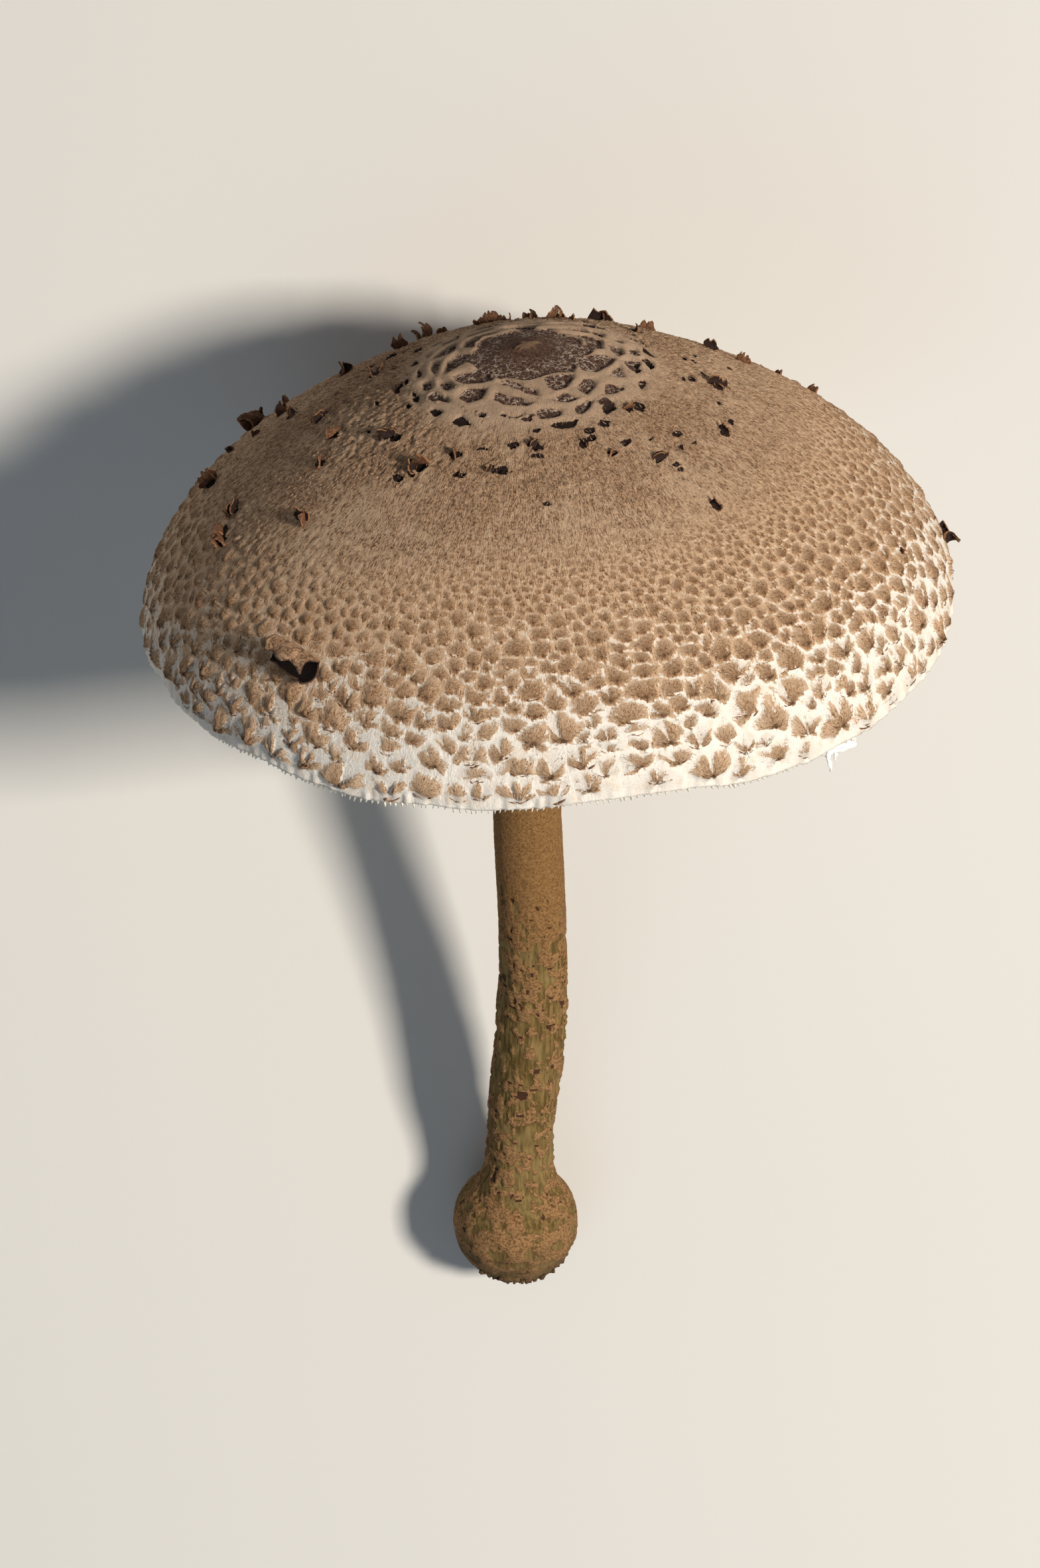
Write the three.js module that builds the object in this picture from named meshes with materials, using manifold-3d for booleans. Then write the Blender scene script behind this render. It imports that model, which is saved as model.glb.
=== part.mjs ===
// A parasol mushroom as it is picked: it lies on the rim of its cap and on the bulb of its stem.
// Every piece is drawn in the growing frame, in millimetres: the stem's axis is z, the cap's rim is
// at z = 0, +x is the mushroom's right and -y its front. The last lines lay the whole thing down.
import * as THREE from "three";
import { mergeVertices } from "three/addons/utils/BufferGeometryUtils.js";
import Module from "manifold-3d";

const wasm = await Module();
wasm.setup();

const TURN = 2 * Math.PI;

// ---------------------------------------------------------------- cap
const CAP_RADIUS = 90;
const CAP_HEIGHT = 62;
const CAP_SKEW = 0.049; // share of the radius by which the right side reaches further out
const CAP_POWER = 1.29; // the height falls with t as (1 - t^power)^roundness
const CAP_POWER_SWING = 0.17; // the right flank is fuller than the left one
const CAP_ROUNDNESS = 0.53;
const RIM_LIFT = 3.5; // the rim is higher on the right and lower on the left
const FLESH_CENTRE = 12.4; // thickness of the flesh under the crown
const FLESH_OUTER_SHARE = 0.5; // and how much of it is left, as a share of the height, near the rim
const FLESH_RIM = 1.5;
const SOCKET_RADIUS = 7.6; // the stem's top sits in this recess
const SOCKET_MOUTH_Z = 46.4;
const SOCKET_TOP_Z = 50;

const SCALES_ROUND = 38; // scales in a row, about twice as large as on the real mushroom
const COLUMNS = 2 * SCALES_ROUND; // a column down each scale's middle and one between two scales
const SCALE_ASPECT = 0.85; // a scale's length over its width
const SCALE_LIFT = 0.14; // height of a scale's free tip over its width
const SCALE_POINT = 0.26; // how far the tip stands out past its row, in row lengths
const SCALE_JITTER = 0.22;
const SCALE_BACK = 0.5; // where a scale's back is highest, in row lengths, and how high over its tip's
const SCALE_BACK_LIFT = 0.6;
const SCALE_NOTCH_LIFT = 0.1;
const SCALE_LIP = 0.12; // the row's lip turns under within this share of its length
const SCALE_FADE = 0.35; // the first row's lift over the last one's: felted near the crown
const COLUMN_SWAY = 0.32; // how far the columns wander, in columns
const COLUMN_SWAY_ARC = 8; // and the distance down the surface that one radian of it takes
const ROW_SWAY = 0.1; // how far the rows wander, in row lengths
const WHITE_MARGIN = 2.5; // bare edge below the last row
const DISC_RADIUS = 13; // smooth dark disc on the crown
const DISC_LIFT = 0.25;
const DISC_RINGS = [0.3, 0.65, 0.97]; // as shares of its radius
const NET_END = 28; // the raised net round the disc ends here, measured down the surface
const NET_ROWS = 2;
const NET_CELLS = 19; // cells of the net in a row
const NET_STRAND = 0.14; // a row's strand lies this far down it, and its cells between these shares
const NET_CELL = [0.36, 0.72];
const NET_SWAY = 0.09;
const NET_RIDGE = 0.8;
const NET_PIT = -0.35;
const FELT_LIFT = 0.35;

const FLAKES = 28; // dark flakes that stand up from the felt
const FLAKE_WIDTH = [2.6, 5.6];
const FLAKE_HEIGHT = [1.8, 4.2];
const FLAKE_THICKNESS = 0.7;
const FLAKE_ROOT = 1.3;
const FLAKES_FROM = 26;
const FLAKES_TO = 78;
const FLAKES_CROWDING = 1.25; // above 1, more of them stand near the crown
const FLAKE_LEAN = [0.5, 1.0]; // from upright towards the rim, in radians
const FLAKE_TWIST = 0.45;

// ---------------------------------------------------------------- gills
const GILLS_FULL = 25; // and as many of middle length, and twice as many short ones
const GILL_THICKNESS = 0.8;
const GILL_GAP = 0.4; // between the flesh and the gills
const GILL_LAYER = 0.9; // thin flesh that joins the gills at their roots
const GILL_ROWS = [0.075, 0.11, 0.24, 0.4, 0.62, 0.82, 0.985]; // places down the surface, as w
const GILL_STARTS = { full: 1, middle: 3, short: 4 }; // the row at which a gill of each length begins
// Free edge of a gill: [share of the radius, height above the rim]
const GILL_EDGE = [
  [0.118, 39],
  [0.16, 33],
  [0.24, 28.5],
  [0.4, 24],
  [0.6, 17.5],
  [0.78, 10.5],
  [0.9, 4.2],
  [0.975, -0.5],
];

// ---------------------------------------------------------------- stem
const STEM_COLUMNS = 22;
// Axis and radius down the stem: [height, radius, sideways bend]
const STEM_LINE = [
  [49.7, 7.2, 0],
  [20, 7.6, 0],
  [-20, 7.8, 0],
  [-55, 7.9, 0.4],
  [-95, 8.25, 1.3],
  [-118, 8.6, 0.8],
  [-138, 8.8, -1.3],
  [-150, 8.4, -1.6],
  [-157, 8.6, -1.8],
  [-162, 10.2, -2.2],
  [-166, 13.1, -2.5],
];
const BULB_RADIUS = 15.2; // the bulb is a ball at the foot of the stem
const BULB_Z = -174;
const BULB_X = -2.5;
const STEM_ROW = 6; // height of a row of the stem's snake-skin plates
const PLATE_LIFT = 0.4;
const PLATES_FROM = -52; // the plates grow rougher from here down
const PLATES_START = 0.3; // the first row's roughness over the full one, which is reached in
const PLATES_GROW = 14; // this many rows
const PLATE_GAP = -0.25; // depth between two plates over a plate's height
const BULB_RINGS = [0.22, 0.05, -0.15, -0.35, -0.6, -0.82]; // quarter turns above its middle

// ---------------------------------------------------------------- ring
const RING_Z = -34;
const RING_COLUMNS = 36;
const RING_BORE = 8.25;
// Section of the ring: [radius, height above RING_Z], a sleeve with a skirt of two lips
const RING_SECTION = [
  [RING_BORE, 4.5],
  [RING_BORE, -7.5],
  [9.4, -7.2],
  [10.6, -2.6],
  [15.2, -3.6],
  [18.0, -3.4],
  [16.9, -1.9],
  [18.3, -0.6],
  [17.2, 0.8],
  [12.5, 0.9],
  [10.2, 2.2],
  [9.3, 4.8],
];
const RING_SKIRT = [10, 18]; // the waves grow from the first radius to the second
const RING_WAVE = 0.05; // share of the radius
const RING_DROOP = 0.9;

// ---------------------------------------------------------------- how it lies
const RIM_PRESSED = 1.2; // the soft rim is pressed flat by this much where it bears
const BULB_PRESSED = 0.6;

const RIM_REACH = CAP_RADIUS - RIM_PRESSED;
const BULB_REACH = BULB_RADIUS - BULB_PRESSED;
const SPAN = Math.hypot(RIM_REACH, BULB_Z);
const TILT = Math.acos(BULB_REACH / SPAN) - Math.atan2(-BULB_Z, RIM_REACH); // of the axis above level
const AXIS_HEIGHT = RIM_REACH * Math.cos(TILT); // of the rim's centre above the surface

// Numbers from 0 to 1 that are the same on every run.
function seeded(seed) {
  let state = seed;
  return () => {
    state = (state * 1664525 + 1013904223) % 4294967296;
    return state / 4294967296;
  };
}

// Value at x on a line through [x, value, ...] points, eased between them; x runs either way.
function along(points, x, column = 1) {
  const rising = points[0][0] < points[points.length - 1][0];
  const list = rising ? points : [...points].reverse();
  if (x <= list[0][0]) return list[0][column];
  for (let i = 1; i < list.length; i++) {
    if (x > list[i][0]) continue;
    const share = (x - list[i - 1][0]) / (list[i][0] - list[i - 1][0]);
    return THREE.MathUtils.lerp(list[i - 1][column], list[i][column], share);
  }
  return list[list.length - 1][column];
}

// A point of the cap's outer form. w runs from 0 at the crown to 1 at the rim.
function capForm(w, azimuth) {
  const t = Math.sin((w * Math.PI) / 2);
  const side = Math.cos(azimuth);
  const power = CAP_POWER + CAP_POWER_SWING * side;
  const radius = CAP_RADIUS * (1 + CAP_SKEW * side * t) * t;
  const height = CAP_HEIGHT * (1 - t ** power) ** CAP_ROUNDNESS + RIM_LIFT * side * t ** 3;
  return new THREE.Vector3(radius * side, radius * Math.sin(azimuth), height);
}

// The cap's outward normal at w and azimuth.
function capNormal(w, azimuth) {
  const step = 0.004;
  const inner = Math.max(w - step, 0.002);
  const down = capForm(Math.min(inner + step, 1), azimuth).sub(capForm(inner, azimuth));
  const round = capForm(w, azimuth + step).sub(capForm(w, azimuth - step));
  return down.cross(round).normalize();
}

// The same point, raised from the form by lift along its normal.
function capPoint(w, azimuth, lift = 0) {
  return capForm(w, azimuth).addScaledVector(capNormal(w, azimuth), lift);
}

// Distance down the surface from the crown, for w from 0 to 1, on the front of the cap.
const ARC_STEPS = 400;
const ARC = [0];
for (let i = 1; i <= ARC_STEPS; i++) {
  const step = capForm(i / ARC_STEPS, -Math.PI / 2).distanceTo(capForm((i - 1) / ARC_STEPS, -Math.PI / 2));
  ARC.push(ARC[i - 1] + step);
}
const ARC_LENGTH = ARC[ARC_STEPS];

function wAt(arc) {
  if (arc >= ARC_LENGTH) return 1;
  let i = 1;
  while (ARC[i] < arc) i++;
  return (i - 1 + (arc - ARC[i - 1]) / (ARC[i] - ARC[i - 1])) / ARC_STEPS;
}

const radiusAt = (arc) => CAP_RADIUS * Math.sin((wAt(arc) * Math.PI) / 2);

// One closed body through rings of points, from the point start to the point end. With neither it
// closes on itself, as a tyre does.
function bodyThrough(rings, start, end) {
  const columns = rings[0].length;
  const points = rings.flat();
  const faces = [];
  const at = (ring, column) => (ring % rings.length) * columns + (column % columns);
  const closed = !start;
  for (let i = 0; i < rings.length - (closed ? 0 : 1); i++) {
    for (let j = 0; j < columns; j++) {
      const corners = [at(i, j), at(i + 1, j), at(i + 1, j + 1), at(i, j + 1)];
      const evenCut = (i + j) % 2 === 0;
      if (evenCut) faces.push(corners[0], corners[1], corners[2], corners[0], corners[2], corners[3]);
      else faces.push(corners[0], corners[1], corners[3], corners[1], corners[2], corners[3]);
    }
  }
  if (!closed) {
    const last = rings.length - 1;
    points.push(start, end);
    for (let j = 0; j < columns; j++) {
      faces.push(points.length - 2, at(0, j), at(0, j + 1));
      faces.push(points.length - 1, at(last, j + 1), at(last, j));
    }
  }
  const geometry = new THREE.BufferGeometry().setFromPoints(points);
  geometry.setIndex(faces);
  return geometry;
}

function solidFrom(geometry) {
  const bare = new THREE.BufferGeometry();
  bare.setAttribute("position", geometry.getAttribute("position"));
  if (geometry.index) bare.setIndex(geometry.index);
  const merged = mergeVertices(bare, 1e-4);
  const corners = [];
  for (let i = 0; i < merged.index.count; i += 3) {
    const [a, b, c] = merged.index.array.slice(i, i + 3);
    if (a !== b && b !== c && c !== a) corners.push(a, b, c);
  }
  const mesh = new wasm.Mesh({
    numProp: 3,
    vertProperties: new Float32Array(merged.attributes.position.array),
    triVerts: new Uint32Array(corners),
  });
  return new wasm.Manifold(mesh);
}

function geometryFrom(solid) {
  const mesh = solid.getMesh();
  const geometry = new THREE.BufferGeometry();
  geometry.setAttribute("position", new THREE.BufferAttribute(mesh.vertProperties, 3));
  geometry.setIndex(new THREE.BufferAttribute(mesh.triVerts, 1));
  return geometry;
}

// What lies below the resting surface is pressed away: this block is that space.
function surfaceBlock() {
  const size = 4 * CAP_RADIUS;
  const block = new THREE.BoxGeometry(size, size, size);
  block.translate(0, 0, -size / 2);
  block.rotateX(Math.PI / 2 - TILT); // from the lying frame into the growing one
  const down = new THREE.Vector3(0, Math.cos(TILT), -Math.sin(TILT));
  block.translate(...down.multiplyScalar(AXIS_HEIGHT).toArray());
  return solidFrom(block);
}

// Rings of the cap's scales, from the crown side to the rim. Each scale rises from its row's start to
// a free, pointed tip that stands over the next row, whose scales are set half a scale round.
function scaleRings(random) {
  const starts = [ARC_LENGTH - WHITE_MARGIN];
  while (starts[0] > NET_END + 3) {
    const width = (TURN * radiusAt(starts[0])) / SCALES_ROUND;
    starts.unshift(starts[0] - SCALE_ASPECT * width);
  }
  const rings = [];
  for (let row = 1; row < starts.length; row++) {
    const [from, to] = [starts[row - 1], starts[row]];
    const length = to - from;
    const width = length / SCALE_ASPECT;
    const fade = Math.min(1, SCALE_FADE + ((1 - SCALE_FADE) * (row - 1)) / (starts.length - 4));
    const scales = Array.from({ length: COLUMNS }, () => 1 + SCALE_JITTER * (2 * random() - 1));
    const middle = (column) => (column + row) % 2 === 0;
    const tip = (column) => fade * SCALE_LIFT * width * scales[column];
    const wave = (column) => ROW_SWAY * length * Math.sin((5 * column * TURN) / COLUMNS + 2.4 * row);
    const reach = (column) =>
      (middle(column) ? SCALE_POINT : -SCALE_POINT) * length * scales[column] + wave(column);
    rings.push((column) => [
      from + SCALE_BACK * length + 0.3 * reach(column),
      middle(column) ? SCALE_BACK_LIFT * tip(column) : 0,
    ]);
    rings.push((column) => [to + reach(column), middle(column) ? tip(column) : SCALE_NOTCH_LIFT]);
    rings.push((column) => [to + reach(column) + SCALE_LIP * length, 0]);
  }
  return rings;
}

// Rings of the crown: a smooth disc, then the rows of a raised net with a pit in each cell.
function crownRings() {
  const perCell = COLUMNS / NET_CELLS;
  const pitch = (NET_END - DISC_RADIUS) / NET_ROWS;
  const rings = [];
  for (const share of DISC_RINGS) rings.push(() => [DISC_RADIUS * share, DISC_LIFT]);
  for (let row = 0; row < NET_ROWS; row++) {
    const from = DISC_RADIUS + row * pitch;
    const shift = row * Math.floor(perCell / 2);
    const strand = (column) => (column + shift) % perCell === 0;
    const sway = (column) => NET_SWAY * pitch * Math.sin((5 * column * TURN) / COLUMNS + 2 * row);
    const ridge = NET_RIDGE * (1 - 0.3 * row);
    rings.push((column) => [from + NET_STRAND * pitch + sway(column), ridge]);
    for (const share of NET_CELL) {
      rings.push((column) => [from + share * pitch + sway(column), strand(column) ? ridge : NET_PIT]);
    }
  }
  rings.push(() => [NET_END - 0.8, FELT_LIFT]);
  return rings;
}

// The under surface of the flesh, or one that lies below it: the cap's form drawn smaller.
function underFlesh(w, azimuth, below = 0) {
  const across = 1 - (FLESH_RIM + below) / CAP_RADIUS;
  const thinning = THREE.MathUtils.lerp(FLESH_OUTER_SHARE, 1, (1 - Math.sin((w * Math.PI) / 2)) ** 2);
  const upright = 1 - (FLESH_CENTRE * thinning + below) / CAP_HEIGHT;
  return capForm(w, azimuth).multiply(new THREE.Vector3(across, across, upright));
}

function circle(radius, height, columns) {
  return Array.from({ length: columns }, (_, column) => {
    const azimuth = (column * TURN) / columns;
    return new THREE.Vector3(radius * Math.cos(azimuth), radius * Math.sin(azimuth), height);
  });
}

// A ring of columns that are drawn together by two, for a surface that needs only half of them.
function paired(columns, pointAt) {
  return Array.from({ length: columns }, (_, column) => pointAt(((column - (column % 2)) * TURN) / columns));
}

// A dark flake: a stiff five-cornered chip of skin, its root sunk in the felt.
function flake(random) {
  const width = THREE.MathUtils.lerp(...FLAKE_WIDTH, random());
  const height = THREE.MathUtils.lerp(...FLAKE_HEIGHT, random());
  const outline = new THREE.Shape([
    new THREE.Vector2(-0.4 * width, -FLAKE_ROOT),
    new THREE.Vector2(0.4 * width, -FLAKE_ROOT),
    new THREE.Vector2(0.5 * width, 0.55 * height),
    new THREE.Vector2(0.1 * width, height),
    new THREE.Vector2(-0.5 * width, 0.5 * height),
  ]);
  const chip = new THREE.ExtrudeGeometry(outline, { depth: FLAKE_THICKNESS, bevelEnabled: false });
  chip.translate(0, 0, -FLAKE_THICKNESS / 2);
  return chip;
}

// The flakes, spread over the felt by the golden angle, each leaning back towards the rim.
function flakesOnFelt(random) {
  const golden = Math.PI * (3 - Math.sqrt(5));
  return Array.from({ length: FLAKES }, (_, i) => {
    const arc = THREE.MathUtils.lerp(FLAKES_FROM, FLAKES_TO, (i / (FLAKES - 1)) ** FLAKES_CROWDING);
    const azimuth = i * golden + 0.3 * random();
    const w = wAt(arc);
    const up = capNormal(w, azimuth);
    const out = capForm(Math.min(w + 0.01, 1), azimuth).sub(capForm(w, azimuth)).normalize();
    const lean = THREE.MathUtils.lerp(...FLAKE_LEAN, random());
    const rise = up.clone().multiplyScalar(Math.cos(lean)).addScaledVector(out, Math.sin(lean));
    const twist = new THREE.Matrix4().makeRotationAxis(up, FLAKE_TWIST * (2 * random() - 1));
    const across = new THREE.Vector3().crossVectors(rise, up).normalize();
    const face = new THREE.Vector3().crossVectors(across, rise);
    const place = new THREE.Matrix4().makeBasis(across, rise, face);
    const chip = flake(random);
    chip.applyMatrix4(twist.multiply(place));
    chip.translate(...capForm(w, azimuth).toArray());
    return solidFrom(chip);
  });
}

function capGeometry(floor) {
  const random = seeded(7);
  const top = [...crownRings(), ...scaleRings(random), () => [ARC_LENGTH, 0]];
  const rings = top.map((ring) =>
    Array.from({ length: COLUMNS }, (_, column) => {
      const [arc, lift] = ring(column);
      const swing = 2 * Math.sin((3 * column * TURN) / COLUMNS);
      const sway = COLUMN_SWAY * Math.sin(arc / COLUMN_SWAY_ARC + swing);
      return capPoint(wAt(arc), ((column + sway) * TURN) / COLUMNS, lift);
    }),
  );
  for (const w of [...GILL_ROWS].reverse()) {
    rings.push(paired(COLUMNS, (azimuth) => underFlesh(w, azimuth)));
  }
  for (const height of [SOCKET_MOUTH_Z, SOCKET_TOP_Z]) {
    const onSocket = (azimuth) =>
      new THREE.Vector3(SOCKET_RADIUS * Math.cos(azimuth), SOCKET_RADIUS * Math.sin(azimuth), height);
    rings.push(paired(COLUMNS, onSocket));
  }
  const crown = capForm(0, 0).add(new THREE.Vector3(0, 0, DISC_LIFT));
  const body = solidFrom(bodyThrough(rings, crown, new THREE.Vector3(0, 0, SOCKET_TOP_Z)));
  return geometryFrom(wasm.Manifold.union([body, ...flakesOnFelt(random)]).subtract(floor));
}

// The four corners of one gill's section in a row: root, free edge, free edge, root. A gill that has
// not begun yet is drawn together in one point of the layer.
function gillSection(azimuth, row, start) {
  const w = GILL_ROWS[row];
  const layer = (angle) => underFlesh(w, angle, GILL_GAP + GILL_LAYER);
  if (row < start) return Array(4).fill(layer(azimuth));
  const middle = layer(azimuth);
  const radius = Math.hypot(middle.x, middle.y);
  const share = radius / (CAP_RADIUS * (1 + CAP_SKEW * Math.cos(azimuth)));
  const edge = along(GILL_EDGE, share) + RIM_LIFT * Math.cos(azimuth) * share ** 3;
  const halfAngle = (0.5 * GILL_THICKNESS) / radius;
  const roots = [layer(azimuth - halfAngle), layer(azimuth + halfAngle)];
  const begins = row === start && row > GILL_STARTS.full;
  const edges = roots.map((root) => new THREE.Vector3(root.x, root.y, begins ? root.z - 0.5 : edge));
  return [roots[0], edges[0], edges[1], roots[1]];
}

function gillsGeometry() {
  const count = 4 * GILLS_FULL;
  const lengths = ["full", "short", "middle", "short"];
  const rings = GILL_ROWS.map((w, row) =>
    Array.from({ length: count }, (_, i) =>
      gillSection((i * TURN) / count, row, GILL_STARTS[lengths[i % 4]]),
    ).flat(),
  );
  for (const w of [...GILL_ROWS].reverse()) {
    rings.push(
      Array.from({ length: 4 * count }, (_, column) => {
        const group = Math.floor(column / 4);
        return underFlesh(w, ((group - (group % 2)) * TURN) / count, GILL_GAP);
      }),
    );
  }
  return geometryFrom(solidFrom(bodyThrough(rings.reverse())));
}

// Radius and sideways bend of the stem at a height, with the bulb as a ball at its foot.
function stemAt(z) {
  const inBulb = BULB_RADIUS ** 2 - (z - BULB_Z) ** 2;
  const ball = inBulb > 0 ? Math.sqrt(inBulb) : 0;
  const shaft = z > BULB_Z ? along(STEM_LINE, z) : 0;
  return { radius: Math.max(shaft, ball), bend: z > BULB_Z ? along(STEM_LINE, z, 2) : BULB_X };
}

function stemGeometry(floor) {
  const rings = [];
  const addRing = (z, liftOf) => {
    const { radius, bend } = stemAt(z);
    rings.push(
      circle(1, z, STEM_COLUMNS).map((point, column) => {
        const reach = radius + liftOf(column);
        return new THREE.Vector3(bend + reach * point.x, reach * point.y, z);
      }),
    );
  };
  const top = STEM_LINE[0][0];
  const smooth = () => 0;
  for (const z of [top, 30, 5, RING_Z + 8, RING_Z - 10]) addRing(z, smooth);
  for (let z = PLATES_FROM, row = 0; z > BULB_Z + 9; z -= STEM_ROW, row++) {
    const rough = PLATE_LIFT * Math.min(1, PLATES_START + row / PLATES_GROW);
    const raised = (column) => ((column + row) % 2 === 0 ? rough : PLATE_GAP * rough);
    addRing(z, raised);
    addRing(z - 0.8 * STEM_ROW, (column) => 0.5 * raised(column));
  }
  for (const turn of BULB_RINGS) {
    addRing(BULB_Z + BULB_RADIUS * Math.sin((turn * Math.PI) / 2), smooth);
  }
  const foot = new THREE.Vector3(BULB_X, 0, BULB_Z - BULB_RADIUS);
  const body = solidFrom(bodyThrough(rings, new THREE.Vector3(0, 0, top), foot));
  return geometryFrom(body.subtract(floor));
}

function ringGeometry() {
  const rings = [...RING_SECTION].reverse().map(([radius, height]) =>
    circle(1, 0, RING_COLUMNS).map((point, column) => {
      const azimuth = (column * TURN) / RING_COLUMNS;
      const skirt = THREE.MathUtils.smoothstep(radius, ...RING_SKIRT);
      const wave = 1 + skirt * RING_WAVE * (Math.sin(5 * azimuth) + 0.6 * Math.sin(11 * azimuth + 1));
      const droop = skirt * RING_DROOP * Math.sin(3 * azimuth + 0.7);
      return new THREE.Vector3(point.x * radius * wave, point.y * radius * wave, RING_Z + height + droop);
    }),
  );
  return bodyThrough(rings);
}

// ---------------------------------------------------------------- the mushroom
const skin = new THREE.MeshStandardMaterial({ color: 0x9a7556, roughness: 0.9, metalness: 0 });
const cream = new THREE.MeshStandardMaterial({ color: 0xe6dcc4, roughness: 0.85, metalness: 0 });
const bark = new THREE.MeshStandardMaterial({ color: 0x8a6540, roughness: 0.85, metalness: 0 });
const veil = new THREE.MeshStandardMaterial({ color: 0xd9c7a6, roughness: 0.9, metalness: 0 });

function piece(name, geometry, material) {
  const mesh = new THREE.Mesh(geometry, material);
  mesh.name = name;
  return mesh;
}

const floor = surfaceBlock();
const grown = new THREE.Group();
grown.add(piece("cap", capGeometry(floor), skin));
grown.add(piece("gills", gillsGeometry(), cream));
grown.add(piece("stem", stemGeometry(floor), bark));
grown.add(piece("ring", ringGeometry(), veil));

// Laid down: the axis is TILT above level with the front of the cap upwards, and the origin is on the
// surface, in the middle of the footprint.
grown.rotation.x = TILT - Math.PI / 2;
grown.position.z = AXIS_HEIGHT;
const mushroom = new THREE.Group();
mushroom.add(grown);
mushroom.updateMatrixWorld(true);
const footprint = new THREE.Box3().setFromObject(mushroom, true).getCenter(new THREE.Vector3());
grown.position.x -= footprint.x;
grown.position.y -= footprint.y;

export default mushroom;
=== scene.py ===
"""A picked parasol mushroom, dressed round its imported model.

Every piece is drawn in the growing frame, in millimetres: the stem's axis is z, the cap's rim is at
z = 0, +x is the mushroom's right and -y its front. lay_down() takes points from there to the row's
frame, where the mushroom lies on the rim of its cap and on its bulb. A place on the cap is an arc,
the distance down the surface from the crown, and an azimuth.
"""
import math
from itertools import product

import bpy
import numpy as np
from mathutils import Matrix, Vector


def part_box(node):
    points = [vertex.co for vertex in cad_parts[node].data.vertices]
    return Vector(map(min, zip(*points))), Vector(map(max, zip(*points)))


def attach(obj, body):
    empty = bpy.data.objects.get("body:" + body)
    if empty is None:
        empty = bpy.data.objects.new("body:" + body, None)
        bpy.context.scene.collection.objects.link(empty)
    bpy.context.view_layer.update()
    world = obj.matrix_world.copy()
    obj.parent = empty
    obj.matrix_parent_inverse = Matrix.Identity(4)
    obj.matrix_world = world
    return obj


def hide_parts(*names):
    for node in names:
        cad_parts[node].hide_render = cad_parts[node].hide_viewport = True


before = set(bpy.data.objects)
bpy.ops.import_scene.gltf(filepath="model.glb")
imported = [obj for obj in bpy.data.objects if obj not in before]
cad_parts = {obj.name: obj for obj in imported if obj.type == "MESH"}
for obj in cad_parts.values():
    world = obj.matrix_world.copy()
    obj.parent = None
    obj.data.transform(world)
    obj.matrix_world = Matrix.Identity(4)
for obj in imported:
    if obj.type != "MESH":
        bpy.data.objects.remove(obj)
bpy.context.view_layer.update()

MM = 0.001
TURN = 2 * math.pi

# ------------------------------------------------------------------ driving sizes, in millimetres
CAP_RADIUS = 90
CAP_HEIGHT = 62
CAP_SKEW = 0.049  # share of the radius by which the cap reaches further to the right
CAP_POWER = 1.29  # how soon the crown falls away
CAP_POWER_SWING = 0.17  # and how much later on the right
CAP_ROUNDNESS = 0.53  # how steeply the cap meets its rim
RIM_LIFT = 3.5  # the rim is this much higher on the right, and lower on the left
FLESH_CENTRE = 12.4  # thickness of the flesh at the middle
FLESH_OUTER_SHARE = 0.5  # and the share of it that is left outwards
FLESH_RIM = 1.5

DISC_RADIUS = 12.6  # dark smooth disc on the crown
NET_TO = 31.0  # arc at which the raised net round the disc ends
FELT_LIFT = 0.35  # the felt's thickness over the white flesh
SCALES_FROM = 44.0  # arc at which the felt breaks up into scales
WHITE_MARGIN = 3.4  # width of the flesh without scales along the rim

GILLS = 108  # full gills; as many of middle length, and twice as many short ones
STEM_LINE = [  # height, radius, sideways bend
    (49.5, 7.2, 0.0), (20, 7.55, 0.0), (-20, 7.7, 0.0), (-57, 7.9, 0.1), (-75, 7.75, 0.8),
    (-88, 7.9, 1.35), (-104, 8.15, 1.45), (-118, 8.45, 1.1), (-132, 8.5, -0.3), (-142, 8.2, -1.5),
    (-150, 7.95, -1.6), (-157, 8.3, -1.8), (-162, 9.9, -2.2), (-166, 12.9, -2.5),
]
BULB_RADIUS = 15.2
BULB_Z = -174
BULB_X = -2.5
RING_Z = -34

# How it lies: the soft rim and the bulb are pressed flat by this much where they bear.
RIM_PRESSED = 1.2
BULB_PRESSED = 0.6
RIM_REACH = CAP_RADIUS - RIM_PRESSED
TILT = math.acos((BULB_RADIUS - BULB_PRESSED) / math.hypot(RIM_REACH, BULB_Z)) - math.atan2(
    -BULB_Z, RIM_REACH
)
AXIS_HEIGHT = RIM_REACH * math.cos(TILT)
STEM_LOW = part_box("stem")[0] / MM
OFFSET_X = STEM_LOW.x + BULB_RADIUS - BULB_X
OFFSET_Y = STEM_LOW.y + BULB_RADIUS - BULB_Z * math.cos(TILT)

# The camera, in the growing frame.
VIEW_RISE = math.radians(28.62)  # above the plane of the rim
VIEW_DISTANCE = 896
VIEW_AIM = (-1.6, 0, -48.6)
VIEW_LENS, VIEW_SENSOR = 92.05, 36


# ------------------------------------------------------------------ frame, noise and small helpers
def xyz(x, y, z):
    """Points from their three coordinates, each an array or a number."""
    return np.stack(np.broadcast_arrays(x, y, z), axis=-1)


def lay_down(points):
    """Points of the growing frame, in millimetres, as points of the row's frame, in metres."""
    x, y, z = np.moveaxis(np.asarray(points, float), -1, 0)
    sine, cosine = math.sin(TILT), math.cos(TILT)
    forward = y * sine + z * cosine + OFFSET_Y
    upward = z * sine - y * cosine + AXIS_HEIGHT
    return xyz(x + OFFSET_X, forward, upward) * MM


def smooth(low, high, value):
    """0 up to low, 1 from high on, and a smooth rise between them."""
    share = np.clip((value - low) / (high - low), 0, 1)
    return share * share * (3 - 2 * share)


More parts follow.
